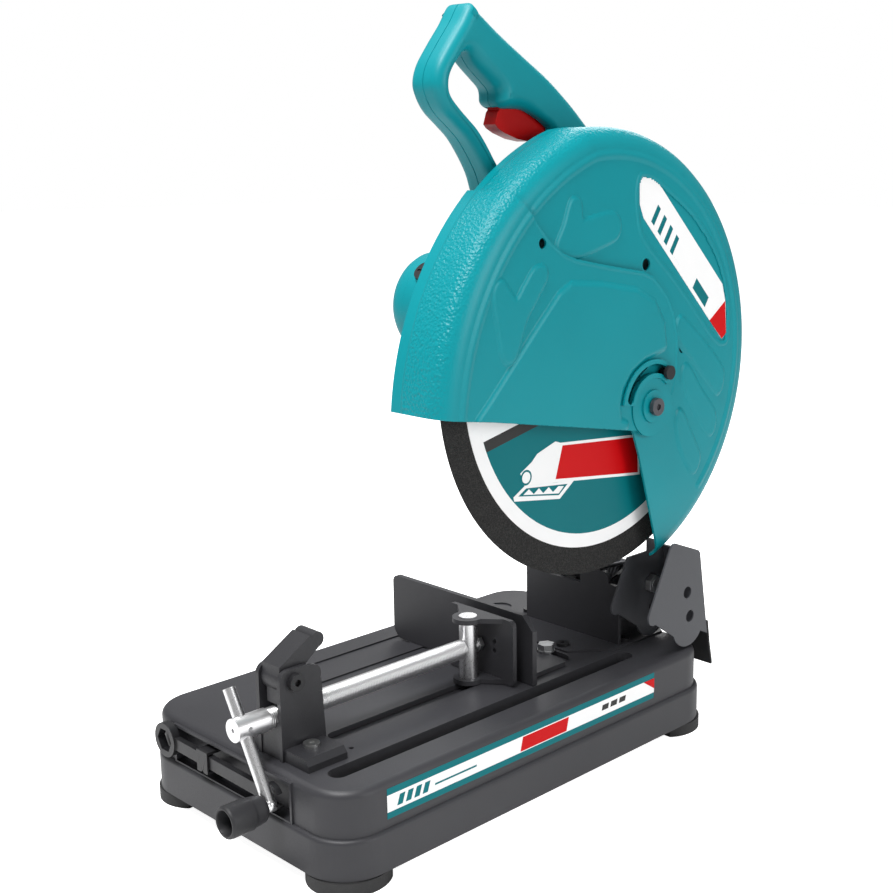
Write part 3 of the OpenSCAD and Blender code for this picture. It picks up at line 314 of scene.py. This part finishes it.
def guard_finish(name):
    """Dimples of height = (cells + noise) * band * lip, where band fades out on surfaces
    that face along x, and a low crease near x = 66 mm, where the sheet folds to the back."""
    m = finish(name, TEAL, WORN_TEAL, rough=0.36, grain=1500, bump=0.05, depth=0.0001,
               blotch=8, amount=0.4, gloss=0.22)
    t = m.node_tree
    b = t.nodes["Principled BSDF"]
    where = t.nodes.new("ShaderNodeTexCoord")
    cells = t.nodes.new("ShaderNodeTexVoronoi")
    cells.feature = "SMOOTH_F1"
    cells.inputs["Scale"].default_value = 430.0
    cells.inputs["Smoothness"].default_value = 0.5
    warp = t.nodes.new("ShaderNodeTexNoise")
    warp.inputs["Scale"].default_value = 420.0
    t.links.new(where.outputs["Object"], cells.inputs["Vector"])
    t.links.new(where.outputs["Object"], warp.inputs["Vector"])
    add = t.nodes.new("ShaderNodeMath")
    t.links.new(cells.outputs["Distance"], add.inputs[0])
    t.links.new(warp.outputs["Fac"], add.inputs[1])
    part = t.nodes.new("ShaderNodeSeparateXYZ")
    t.links.new(where.outputs["Normal"], part.inputs[0])
    side = t.nodes.new("ShaderNodeMath")
    side.operation = "ABSOLUTE"
    t.links.new(part.outputs["X"], side.inputs[0])
    band = t.nodes.new("ShaderNodeMapRange")
    band.inputs["From Min"].default_value = 0.92
    band.inputs["From Max"].default_value = 0.55
    t.links.new(side.outputs[0], band.inputs["Value"])
    place = t.nodes.new("ShaderNodeSeparateXYZ")
    t.links.new(where.outputs["Object"], place.inputs[0])
    lip = t.nodes.new("ShaderNodeMapRange")
    lip.inputs["From Min"].default_value = HAMMERED_FROM[0]
    lip.inputs["From Max"].default_value = HAMMERED_FROM[1]
    t.links.new(place.outputs["X"], lip.inputs["Value"])
    both = t.nodes.new("ShaderNodeMath")
    both.operation = "MULTIPLY"
    t.links.new(band.outputs["Result"], both.inputs[0])
    t.links.new(lip.outputs["Result"], both.inputs[1])
    high = t.nodes.new("ShaderNodeMath")
    high.operation = "MULTIPLY"
    t.links.new(add.outputs[0], high.inputs[0])
    t.links.new(both.outputs[0], high.inputs[1])
    bp = t.nodes.new("ShaderNodeBump")
    bp.inputs["Strength"].default_value = 0.75
    bp.inputs["Distance"].default_value = 0.0009
    ends = []
    for low, top, a, c in (CREASE_UP, CREASE_DOWN):
        slope = t.nodes.new("ShaderNodeMapRange")
        slope.interpolation_type = "SMOOTHSTEP"
        for key, v in (("From Min", low), ("From Max", top), ("To Min", a), ("To Max", c)):
            slope.inputs[key].default_value = v
        t.links.new(place.outputs["X"], slope.inputs["Value"])
        ends.append(slope)
    crease = t.nodes.new("ShaderNodeMath")
    crease.operation = "MULTIPLY"
    t.links.new(ends[0].outputs["Result"], crease.inputs[0])
    t.links.new(ends[1].outputs["Result"], crease.inputs[1])
    total = t.nodes.new("ShaderNodeMath")
    t.links.new(high.outputs[0], total.inputs[0])
    t.links.new(crease.outputs[0], total.inputs[1])
    t.links.new(total.outputs[0], bp.inputs["Height"])
    old = b.inputs["Normal"].links[0].from_node
    t.links.new(old.outputs["Normal"], bp.inputs["Normal"])
    t.links.new(bp.outputs["Normal"], b.inputs["Normal"])
    return m


guard_coat = guard_finish("hammered_teal")
print("guard coat ready")

# %% [markdown]
# The vise screw is threaded behind its collar. A helical bump is enough at this size: its
# height is a wave in the distance along the screw plus the angle round it.

# %% Threaded steel
def thread_finish(name, centre, pitch, start):
    """Height = sin(2 pi (y / pitch + angle / 2 pi)), which fades in up to y = start."""
    m = finish(name, (0.84, 0.84, 0.85), (0.70, 0.70, 0.70), rough=0.38, metal=1.0, grain=700,
               bump=0.08, depth=0.0001, amount=0.4)
    t = m.node_tree
    b = t.nodes["Principled BSDF"]
    where = t.nodes.new("ShaderNodeTexCoord")
    part = t.nodes.new("ShaderNodeSeparateXYZ")
    t.links.new(where.outputs["Object"], part.inputs[0])

    def math_node(op, a, c):
        n = t.nodes.new("ShaderNodeMath")
        n.operation = op
        for k, v in enumerate((a, c)):
            if isinstance(v, float):
                n.inputs[k].default_value = v
            elif v is not None:
                t.links.new(v, n.inputs[k])
        return n.outputs[0]

    dx = math_node("SUBTRACT", part.outputs["X"], centre[0])
    dz = math_node("SUBTRACT", part.outputs["Z"], centre[1])
    ang = math_node("ARCTAN2", dz, dx)
    along = math_node("MULTIPLY", part.outputs["Y"], 2 * math.pi / pitch)
    wave = math_node("SINE", math_node("ADD", along, ang), None)
    fade = t.nodes.new("ShaderNodeMapRange")
    fade.inputs["From Min"].default_value = start - 0.001
    fade.inputs["From Max"].default_value = start
    t.links.new(part.outputs["Y"], fade.inputs["Value"])
    high = math_node("MULTIPLY", wave, fade.outputs["Result"])
    bp = t.nodes.new("ShaderNodeBump")
    bp.inputs["Strength"].default_value = 0.5
    bp.inputs["Distance"].default_value = 0.00035
    t.links.new(high, bp.inputs["Height"])
    t.links.new(bp.outputs["Normal"], b.inputs["Normal"])
    return m


threaded = thread_finish("threaded_steel", (0.031, 0.107), 0.0016, -0.202)
print("thread ready")

# %% [markdown]
# Every CAD node now gets its finish. A fine bevel rounds the pressed and cut edges, since
# no real edge is perfectly sharp and the rounded line is what catches the light.

# %% Dress the CAD nodes
WEAR = {
    powder: ["base", "turret", "fence", "jaw"],
    cast: ["vise_bracket", "release_lever", "gear_head"],
    guard_coat: ["guard_fixed", "guard_swing"],
    moulded: ["motor_case", "motor_end", "handle_left", "handle_right"],
    red_knob: ["trigger"],
    black_moulding: ["crank_grip", "fan", "brush_caps", "switch"],
    foot_rubber: ["foot_front_right", "foot_front_left", "foot_rear_right", "foot_rear_left"],
    thin_rubber: ["cord_gland", "flap"],
    bright: ["crank_bar", "jaw_pin", "spindle", "spindle_bearing", "motor_bearings", "gear"],
    threaded: ["vise_screw"],
    zinc: ["foot_screws", "bracket_screws", "fence_bolts", "hinge_bolt", "hinge_nut",
           "depth_stop", "guard_screws", "screw_retainer", "trigger_pin", "arbor_bolt"],
    dark_steel: ["return_spring", "guard_pivot", "flange_inner", "flange_outer"],
    black_oxide: ["spanner", "spanner_clip", "lever_bolt", "turret_screws", "guard_lock",
                  "motor_screws", "handle_screws", "deflector_screw"],
    grey_coat: ["deflector"],
    bronze: ["hinge_bushes"],
    copper: ["armature", "stator"],
    carbon: ["brushes"],
    abrasive: ["wheel"],
}
BEVEL = {"base": 0.0012, "fence": 0.0010, "jaw": 0.0009, "vise_bracket": 0.0010,
         "release_lever": 0.0018, "turret": 0.0006, "guard_fixed": 0.0006,
         "guard_swing": 0.0006, "deflector": 0.0004, "motor_case": 0.0008, "motor_end": 0.0012,
         "trigger": 0.0014, "crank_grip": 0.0008, "gear_head": 0.0020, "flap": 0.0003,
         "crank_bar": 0.0006, "vise_screw": 0.0006, "jaw_pin": 0.0006}
SMALL = ("brushes", "gear", "armature", "stator", "fan", "motor_bearings", "spindle_bearing")
PLAIN_BEVEL = 0.0003
SMALL_BEVEL = 0.00015


def soften(o, width):
    """Merge the loose triangles, then round each hard edge by width."""
    if "custom_normal" in o.data.attributes:
        o.data.attributes.remove(o.data.attributes["custom_normal"])
    o.data.polygons.foreach_set("use_smooth", np.ones(len(o.data.polygons), bool))
    weld = o.modifiers.new("merge", "WELD")
    weld.merge_threshold = 0.00001
    bev = o.modifiers.new("soft_edges", "BEVEL")
    bev.width = width
    bev.segments = 2
    bev.limit_method = "ANGLE"
    bev.angle_limit = math.radians(32)
    bev.harden_normals = True


for mat, names in WEAR.items():
    for name in names:
        o = nodes[name]
        o.data.materials.clear()
        o.data.materials.append(mat)
        soften(o, BEVEL.get(name, SMALL_BEVEL if name in SMALL else PLAIN_BEVEL))
print("dressed", sum(len(v) for v in WEAR.values()), "nodes")

# %% [markdown]
# The guard's ribs are pressed out of sheet steel, so they rise in a soft slope and not in
# a step. A bevel can't make that from a flat CAD face, but a height map can: a fine grid
# over the face where each point's height depends on its distance from a rib's outline.
# Only the cells that rise are kept, and they are closed behind the face.

# %% Distances in the plane
def to_line(p, line, closed):
    """Distance from each point to the nearest segment, and that nearest point."""
    a = line if closed else line[:-1]
    b = np.roll(line, -1, axis=0) if closed else line[1:]
    ab, ap = b - a, p[:, None, :] - a[None]
    t = np.clip((ap * ab).sum(2) / (ab * ab).sum(1), 0, 1)
    near = a[None] + t[:, :, None] * ab[None]
    d = np.linalg.norm(p[:, None, :] - near, axis=2)
    k = np.argmin(d, axis=1)
    rows = np.arange(len(p))
    return d[rows, k], near[rows, k]


def inside(p, loop):
    """True where a level ray from the point crosses the loop an odd number of times."""
    a, b = loop, np.roll(loop, -1, axis=0)
    up = (a[None, :, 1] > p[:, None, 1]) != (b[None, :, 1] > p[:, None, 1])
    rise = np.where(a[:, 1] == b[:, 1], 1e-9, b[:, 1] - a[:, 1])
    cross = a[:, 0] + (p[:, None, 1] - a[:, 1]) * (b - a)[:, 0] / rise
    return (up & (p[:, None, 0] < cross)).sum(1) % 2 == 1


def closed_curve(points, steps):
    """A closed Catmull-Rom curve: each span blends four neighbours with cubic weights."""
    t = np.linspace(0, 1, steps, endpoint=False)[None, :, None]
    a, b, c, d = (np.roll(points, k, axis=0)[:, None, :] for k in (1, 0, -1, -2))
    out = 0.5 * (2 * b + (c - a) * t + (2 * a - 5 * b + 4 * c - d) * t * t
                 + (3 * b - a - 3 * c + d) * t ** 3)
    return out.reshape(-1, 2)


def add_piece(name, me, body, mat):
    o = bpy.data.objects.new(name, me)
    bpy.context.scene.collection.objects.link(o)
    me.materials.append(mat)
    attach(o, body)
    return o


# %% Pressed relief
SHOULDER = 0.9
LEAST_RISE = 0.02
SINK = 0.06
BACK = 0.5
MARGIN = 8


def relief(name, body, face, rises, limit=None, pitch=1.25):
    """Height = the largest of rise * (1 + cos(pi d / width)) / 2, where d is the distance
    outside a pad (less its shoulder) or from a bead's line. All in millimetres."""
    reach = np.vstack([line for line, rise, width, pad in rises])
    lo, hi = reach.min(0) - MARGIN, reach.max(0) + MARGIN
    ys, zs = (np.arange(lo[k], hi[k], pitch) for k in (0, 1))
    p = np.stack(np.meshgrid(ys, zs, indexing="ij"), 2).reshape(-1, 2)
    h = np.zeros(len(p))
    for line, rise, width, pad in rises:
        d = to_line(p, line, pad)[0]
        if pad:
            d = np.where(inside(p, line), 0, np.maximum(d - SHOULDER, 0))
        h = np.maximum(h, rise * (1 + np.cos(np.pi * np.clip(d / width, 0, 1))) / 2)
    g = np.arange(len(p)).reshape(len(ys), len(zs))
    quads = np.stack([g[:-1, :-1], g[1:, :-1], g[1:, 1:], g[:-1, 1:]], 2).reshape(-1, 4)
    keep = (h[quads] > LEAST_RISE).any(1)
    if limit is not None:
        keep &= inside(p[quads].mean(1), limit)
        out = ~inside(p, limit)
        p[out] = to_line(p[out], limit, True)[1]
    quads = quads[keep]
    used, quads = np.unique(quads, return_inverse=True)
    quads = quads.reshape(-1, 4)
    p, h, n = p[used], h[used], len(used)
    front = np.column_stack([face + h - SINK, p]) / 1000
    back = np.column_stack([np.full(n, face - BACK), p]) / 1000
    a, b = quads.ravel(), np.roll(quads, -1, axis=1).ravel()
    rim = ~np.isin(a * n + b, b * n + a)
    walls = np.column_stack([b[rim], a[rim], a[rim] + n, b[rim] + n])
    me = bpy.data.meshes.new(name)
    me.from_pydata(np.vstack([front, back]).tolist(), [],
                   np.vstack([quads, quads[:, ::-1] + n, walls]).tolist())
    me.polygons.foreach_set("use_smooth", np.ones(len(me.polygons), bool))
    me.set_sharp_from_angle(angle=math.radians(40))
    o = add_piece(name, me, body, guard_coat)
    print(name, len(quads), "cells")


def arc_line(centre, radius, a0, a1, other=None, other_radius=0.0):
    """An arc round centre, pulled in where it would leave the other circle."""
    a = np.radians(np.arange(a0, a1, 1.5))
    u = np.column_stack([np.cos(a), np.sin(a)])
    r = np.full(len(a), float(radius))
    if other is not None:
        w = np.array(centre, float) - np.array(other, float)
        half = u @ w
        r = np.minimum(r, -half + np.sqrt(half ** 2 - w @ w + other_radius ** 2))
    return np.array(centre, float) + r[:, None] * u


# %% Ribs of the two guards
PIVOT = np.array([143.0, 302.0])
WHEEL_AXIS = np.array([100.0, 341.0])
FACE_RIBS = [
    [(30.9, 440.6), (38.8, 455.2), (45.5, 472), (50.5, 475), (55, 471), (57.5, 458),
     (76.4, 460.3), (95, 462), (102, 455), (99, 446), (83.4, 440.4), (53.5, 433.1), (38, 435)],
    [(184, 371), (192, 368), (216.4, 349.2), (244.7, 323.6), (247.8, 310.6), (243, 301.5),
     (234.8, 307), (204.8, 335.5), (183, 357)],
    [(193, 329), (199, 326), (214, 307.1), (235.8, 283.9), (237, 271), (230.3, 266),
     (210.7, 287.4), (193.6, 312.1), (190.5, 322)],
    [(185, 290), (190, 288), (199, 273.9), (214.3, 248.7), (213.5, 238.7), (206.6, 235),
     (191.6, 254.9), (183.5, 278.7)]]
LABEL_SEAT = [(125.4, 484), (131, 494), (147, 492), (164, 482.9), (203.4, 458.7),
              (237.3, 423.7), (253.6, 388.1), (256, 352.6), (249.3, 344), (232.1, 352.4),
              (181.9, 400.4), (135.6, 440.3), (126.5, 462)]
seat = closed_curve(np.array(LABEL_SEAT, float), 4)
fixed_rises = [(closed_curve(np.array(r, float), 4), 1.62, 3.6, True) for r in FACE_RIBS]
fixed_rises.append((arc_line(WHEEL_AXIS, 168.5, -46, 127, PIVOT, 216.5), 1.1, 5.0, False))
fixed_rises.append((np.vstack([seat, seat[:1]]), 0.75, 2.6, False))
relief("fixed_guard_relief", "head", 104.0, fixed_rises)

PANEL = [(-57.6, 317.3), (-45, 329), (0.7, 375), (29, 402.6), (41.6, 409), (78.1, 405.7),
         (120.2, 398.2), (142.4, 387.3), (154.1, 369.9), (157, 352), (148, 350), (131, 347),
         (113, 338), (101, 324), (97, 309), (99, 294), (108, 290), (100, 289)]
CHEVRON = [(-40.5, 413), (-35.5, 417), (-30, 412), (-20, 401.5), (-10.8, 411), (0, 423.5),
           (9.6, 425), (11.5, 418.5), (2.9, 406.5), (-9.4, 390.6), (-16, 376), (-22, 362.4),
           (-28, 359.2), (-33.5, 364), (-37.5, 384.7), (-41.6, 404)]
SEAM = [(2, 460.7), (15.7, 446.7), (31.4, 435.8), (47.5, 430.3), (87.6, 422.7), (130.1, 415.7),
        (143, 411), (152.6, 403), (163, 393), (170.3, 381), (176.6, 362), (177.5, 338.7),
        (174.4, 316), (166, 299)]
FACE_EDGE = np.vstack([arc_line(PIVOT, 224.5, 131.6, 175.2), [(-80.4, 320.8),
                       (-45.1, 315.0), (130, 282.3),
                       (143, 281.7), (155.8, 288)], np.array(SEAM, float)[::-1]])
seam_line = PIVOT + (np.array(SEAM, float) - PIVOT) * 0.985
swing_rises = [
    (np.array(PANEL, float), 2.34, 5.5, True),
    (closed_curve(np.array(CHEVRON, float), 4), 1.74, 3.6, True),
    (arc_line(PIVOT, 218.5, 131, 178), 1.2, 5.5, False),
    (seam_line, 0.6, 2.4, False)]
relief("swing_guard_relief", "swing_guard", 108.2, swing_rises, limit=FACE_EDGE)

# %% [markdown]
# The handle is a closed loop moulded in two halves. Its side view is a smooth outline
# with a finger opening, and its cross-section is rounded, more on the grip than on the
# front strut. Each wall is a grid: one parameter runs round the outline, the other across
# the width, where the wall leans in near the side faces.

# %% Handle outline
RIM = np.array([[0, 620.5], [-10.6, 606], [-23.8, 589.5], [-34, 575], [-37.9, 562],
                [-35.3, 551.6], [-27.8, 540.4], [-14.8, 530], [-3.5, 520.6], [7.7, 506.6],
                [16, 493.2], [20.8, 479.9], [25, 468], [34, 464], [90, 464], [152, 464],
                [163, 470], [167, 486], [163, 502], [148, 519], [127.5, 537], [110.6, 551],
                [85.4, 569], [57.9, 584.8], [31.6, 600], [8.5, 615]]) / 1000
HOLE = np.array([[-3, 586], [-14, 579.5], [-22.3, 569], [-24.6, 560], [-22.6, 552.5],
                 [-14.3, 544], [0.5, 531.5], [12.4, 518.5], [21.5, 506.7], [30, 497],
                 [42, 492.5], [62, 494], [82, 504], [92, 516], [93, 525], [84, 533], [70, 540],
                 [58, 544], [46, 544.3], [35.5, 544.6], [30.3, 549], [29, 558], [21, 565],
                 [8, 575]]) / 1000


def outward(loop):
    """Unit normals of a closed loop, turned a quarter from its smoothed direction."""
    d = np.roll(loop, -2, axis=0) - np.roll(loop, 2, axis=0)
    n = np.stack([d[:, 1], -d[:, 0]], 1)
    n /= np.linalg.norm(n, axis=1)[:, None]
    x, y = loop[:, 0], loop[:, 1]
    area = 0.5 * np.sum(x * np.roll(y, -1) - y * np.roll(x, -1))
    return n if area > 0 else -n


outer = closed_curve(RIM, 6)
inner = closed_curve(HOLE, 6)
print("handle outline:", len(outer), "and", len(inner), "points")

# %% Handle surface
HALF_WIDTH = 0.017
MIDDLE = 0.030
SEAM_DEPTH = 0.0005
RIM_LEAN = 0.0085
GRIP_LEAN = 0.0115
STRUT_LEAN = 0.0055
TRIGGER_ROOM = ((0.0228, 0.0335, 0.522), (0.0372, 0.096, 0.5557))


def wall(loop, lean, half, middle, sign):
    """x = middle + half * s; the wall moves sign * lean * (1 - sqrt(1 - q^2)) along the
    outline's normal, where q grows from 0 to 1 over the last part of s."""
    s = np.array([-1, -0.995, -0.975, -0.94, -0.89, -0.82, -0.73, -0.6, -0.45, -0.03, -0.012,
                  0.012, 0.03, 0.45, 0.6, 0.73, 0.82, 0.89, 0.94, 0.975, 0.995, 1])
    q = np.clip((np.abs(s)[None, :] * half - (half - lean[:, None])) / lean[:, None], 0, 1)
    fall = lean[:, None] * (1 - np.sqrt(np.clip(1 - q * q, 0, 1)))
    groove = np.where(np.abs(s) < 0.02, SEAM_DEPTH, 0.0)[None, :]
    move = sign * (fall + groove)
    yz = loop[:, None, :] + outward(loop)[:, None, :] * move[:, :, None]
    x = np.broadcast_to(middle + half * s[None, :], move.shape)
    return np.concatenate([x[:, :, None], yz], axis=2)


def handle_mesh():
    """Two ring walls and two flat sides between them."""
    lean_out = np.full(len(outer), RIM_LEAN)
    grip = (inner[:, 1] > 0.5425) & (inner[:, 0] > -0.004)
    lean_in = np.where(grip, GRIP_LEAN, STRUT_LEAN)
    lean_in = sum(np.roll(lean_in, k) for k in range(-6, 7)) / 13
    bm = bmesh.new()
    rims = []
    for loop, lean, sign in ((outer, lean_out, -1), (inner, lean_in, 1)):
        p = wall(loop, lean, HALF_WIDTH, MIDDLE, sign)
        rows, cols = p.shape[:2]
        verts = [bm.verts.new(v) for v in p.reshape(-1, 3)]
        grid = np.arange(rows * cols).reshape(rows, cols)
        a, b = grid, np.roll(grid, -1, axis=0)
        quads = np.stack([a[:, :-1], b[:, :-1], b[:, 1:], a[:, 1:]], axis=2).reshape(-1, 4)
        for q in quads:
            bm.faces.new([verts[k] for k in q])
        rims.append((grid[:, 0], grid[:, -1], verts))
    bm.edges.ensure_lookup_table()
    for side in (0, 1):
        edges = []
        for rim in rims:
            ids, verts = rim[side], rim[2]
            for k in range(len(ids)):
                e = bm.edges.get((verts[ids[k]], verts[ids[(k + 1) % len(ids)]]))
                edges.append(e)
        bmesh.ops.triangle_fill(bm, use_beauty=True, use_dissolve=False, edges=edges)
    bmesh.ops.recalc_face_normals(bm, faces=bm.faces)
    if bm.calc_volume(signed=True) < 0:
        bmesh.ops.reverse_faces(bm, faces=bm.faces)
    me = bpy.data.meshes.new("handle_shell")
    bm.to_mesh(me)
    bm.free()
    me.polygons.foreach_set("use_smooth", np.ones(len(me.polygons), bool))
    return me


def carve(o, low, high):
    """Takes a box-shaped room out of a closed piece, and keeps the result as its mesh."""
    bm = bmesh.new()
    bmesh.ops.create_cube(bm, size=1.0)
    lo, hi = np.array(low), np.array(high)
    for v in bm.verts:
        v.co = (lo + hi) / 2 + np.array(v.co) * (hi - lo)
    me = bpy.data.meshes.new("room")
    bm.to_mesh(me)
    bm.free()
    tool = bpy.data.objects.new("room", me)
    bpy.context.scene.collection.objects.link(tool)
    mod = o.modifiers.new("room", "BOOLEAN")
    mod.operation = "DIFFERENCE"
    mod.solver = "EXACT"
    mod.object = tool
    bpy.context.view_layer.update()
    got = bpy.data.meshes.new_from_object(o.evaluated_get(bpy.context.evaluated_depsgraph_get()))
    o.modifiers.clear()
    o.data = got
    bpy.data.objects.remove(tool)


def volume_ml(o):
    """Signed volume of a piece's mesh, in millilitres."""
    bm = bmesh.new()
    bm.from_mesh(o.data)
    v = bm.calc_volume(signed=True) * 1e6
    bm.free()
    return v


handle = add_piece("handle_shell", handle_mesh(), "head", moulded)
whole = volume_ml(handle)
carve(handle, *TRIGGER_ROOM)
print("handle volume: %.1f ml, and %.1f ml with its room" % (whole, volume_ml(handle)))
handle.data.set_sharp_from_angle(angle=math.radians(50))
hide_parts("handle_left", "handle_right")
print("handle faces:", len(handle.data.polygons))

# %% [markdown]
# Printed labels are thin stickers. Each is a flat outline carried a fraction of a
# millimetre along X, so it stays crisp at any distance. Only plain shapes are used: bands,
# a slanted block and wedges, with no lettering.

# %% Stickers
white_print = finish("label_white", (0.86, 0.86, 0.86), (0.80, 0.80, 0.79), rough=0.35,
                     grain=900, bump=0.03, amount=0.3)
teal_print = finish("label_teal", (0.001, 0.145, 0.165), (0.002, 0.16, 0.18), rough=0.4,
                    grain=900, bump=0.03, amount=0.3, gloss=0.12)
red_print = finish("label_red", (0.54, 0.003, 0.005), (0.58, 0.006, 0.008), rough=0.4,
                   grain=900, bump=0.03, amount=0.3, gloss=0.1)
black_print = finish("label_black", (0.012, 0.012, 0.012), (0.03, 0.03, 0.03), rough=0.4,
                     grain=900, bump=0.03, amount=0.3)


def sticker(name, outline, x0, x1, body, mat):
    """The outline, in millimetres of (y, z), stands between the planes x0 and x1."""
    p = np.array(outline, float) / 1000
    n = len(p)
    x, y = p[:, 0], p[:, 1]
    if np.sum(x * np.roll(y, -1) - y * np.roll(x, -1)) < 0:
        p = p[::-1]
    front = np.column_stack([np.full(n, x1 / 1000), p])
    back = np.column_stack([np.full(n, x0 / 1000), p])
    k = np.arange(n)
    sides = np.column_stack([k + n, np.roll(k, -1) + n, np.roll(k, -1), k])
    me = bpy.data.meshes.new(name)
    me.from_pydata(np.vstack([front, back]).tolist(), [],
                   [list(range(n)), list(range(2 * n - 1, n - 1, -1))] + sides.tolist())
    o = add_piece(name, me, body, mat)


def disc(centre, radius, a0=0, a1=360, count=120):
    """Points on an arc of a circle from angle a0 to a1, in degrees."""
    a = np.radians(np.linspace(a0, a1, count, endpoint=a1 - a0 < 360))
    return np.column_stack([centre[0] + radius * np.cos(a), centre[1] + radius * np.sin(a)])


# %% Band along the base
def on_base(name, outline, level, mat):
    """A sticker on the base's right side; a higher level lies on a lower one."""
    sticker("base_" + name, outline, 124.9 + 0.1 * level, 125.1 + 0.12 * level, "stand", mat)


def slanted(y0, y1, z0, z1, lean):
    """A block whose upright edges lean by so much of its height."""
    k = lean * (z1 - z0)
    return [(y0, z0), (y1, z0), (y1 + k, z1), (y0 + k, z1)]


on_base("band", [(-169, 48.4), (131, 48.4), (131.4, 71.5), (-169, 71.5)], 1, teal_print)
on_base("band_white", [(-169, 53.5), (131.1, 53.5), (131.3, 66.4), (-169, 66.4)], 2, white_print)
on_base("band_block", slanted(-34.5, 18.6, 54.3, 65.6, 0.25), 3, red_print)
on_base("band_wedge", [(117, 66.4), (131.3, 57), (131.3, 66.4)], 3, red_print)
for k in range(4):
    on_base("band_stripe_%d" % k, slanted(-160 + 8 * k, -155 + 8 * k, 56, 64, 0.35), 3, teal_print)
on_base("band_line", slanted(-124, -82, 58.6, 60, 0.35), 3, teal_print)
for k in range(3):
    on_base("band_dash_%d" % k, slanted(62 + 11 * k, 70 + 11 * k, 58, 62.6, 0.25), 3, black_print)

print("base band placed")

# %% Label of the fixed guard
def on_guard(name, outline, x0, x1, mat):
    """A sticker on the fixed guard's face."""
    sticker("guard_" + name, outline, x0, x1, "head", mat)


on_guard("label", [(128.6, 486), (131.5, 491.5), (143, 491), (154, 486), (246.1, 397.4),
                   (251.5, 381), (253.5, 353), (247, 348.5), (228.7, 366.4), (134.6, 458.5),
                   (129.2, 470)], 103.35, 103.7, white_print)
on_guard("label_tip", [(250.8, 382.2), (253.3, 353), (247, 348.7), (228.2, 366.6)], 103.6, 103.8,
         red_print)
for k in range(4):
    y, z = 153 + 8.5 * k, 469 - 8.5 * k
    bar = [(y, z), (y + 3.6, z - 3.6), (y - 5.2, z - 17), (y - 8.8, z - 13.4)]
    on_guard("stripe_%d" % k, bar, 103.6, 103.8, teal_print)
on_guard("line", [(150, 451), (151.2, 449.8), (184.2, 416.8), (183, 418)], 103.6, 103.75,
         teal_print)
on_guard("tag", [(208, 405), (226, 387), (220.5, 379), (202.5, 397)], 103.6, 103.8, teal_print)
print("guard label placed")

# %% Label of the wheel: a white disc, a teal field under a dark bar, and plain blocks
nodes["wheel_label"].data.materials.clear()
nodes["wheel_label"].data.materials.append(white_print)
soften(nodes["wheel_label"], 0.00005)


def on_wheel(name, outline, level, mat):
    """A sticker on the wheel's outer side; a higher level lies on a lower one."""
    sticker("wheel_" + name, outline, 87.85 + 0.04 * level, 87.92 + 0.06 * level, "wheel_drive",
            mat)


def arc_corners(radius, *angles):
    """Points on the circle round the wheel's axis at the given angles, in degrees."""
    a = np.radians(angles)
    return np.column_stack([WHEEL_AXIS[0] + radius * np.cos(a), WHEEL_AXIS[1] + radius * np.sin(a)])


on_wheel("field", disc(WHEEL_AXIS, 142.6), 1, teal_print)
on_wheel("sector", disc(WHEEL_AXIS, 142.7, 6.1, 198.7), 2, white_print)
on_wheel("bar", arc_corners(142.5, 198.7, 202.35, 2.45, 6.1), 3, black_print)
on_wheel("block_edge", [(51.5, 281.5), (151.5, 273.7), (153.2, 237.6), (43.2, 249.8)], 2,
         white_print)
on_wheel("block", [(53.9, 278.9), (148.7, 271.5), (150.5, 240.1), (45.6, 252.3)], 3, red_print)
on_wheel("tube", [(5, 264), (17.8, 271), (24.2, 276.7), (45.5, 283.6), (51.5, 281.5),
                  (43.2, 249.8), (30, 250), (9.7, 253)], 2, white_print)
on_wheel("tube_end", disc((11.5, 259.5), 6.3, count=40), 3, teal_print)
on_wheel("tube_bore", disc((11.5, 259.5), 4.6, count=40), 4, white_print)
on_wheel("plate", [(-3, 246), (9.7, 253), (67.7, 247.2), (50.7, 235), (-2, 242.5)], 3,
         white_print)
on_wheel("plate_line", [(2.5, 245.8), (11.5, 250.8), (60, 245.9), (49.5, 238.3)], 4, teal_print)
on_wheel("plate_teeth", [(8, 246), (14.5, 249.6), (20, 244.6), (26, 248.4), (31, 243.4),
                         (37.5, 247.2), (42.5, 242.2), (49, 246), (55.5, 244.8), (49.3, 239.8)],
         5, white_print)
print("wheel label placed")
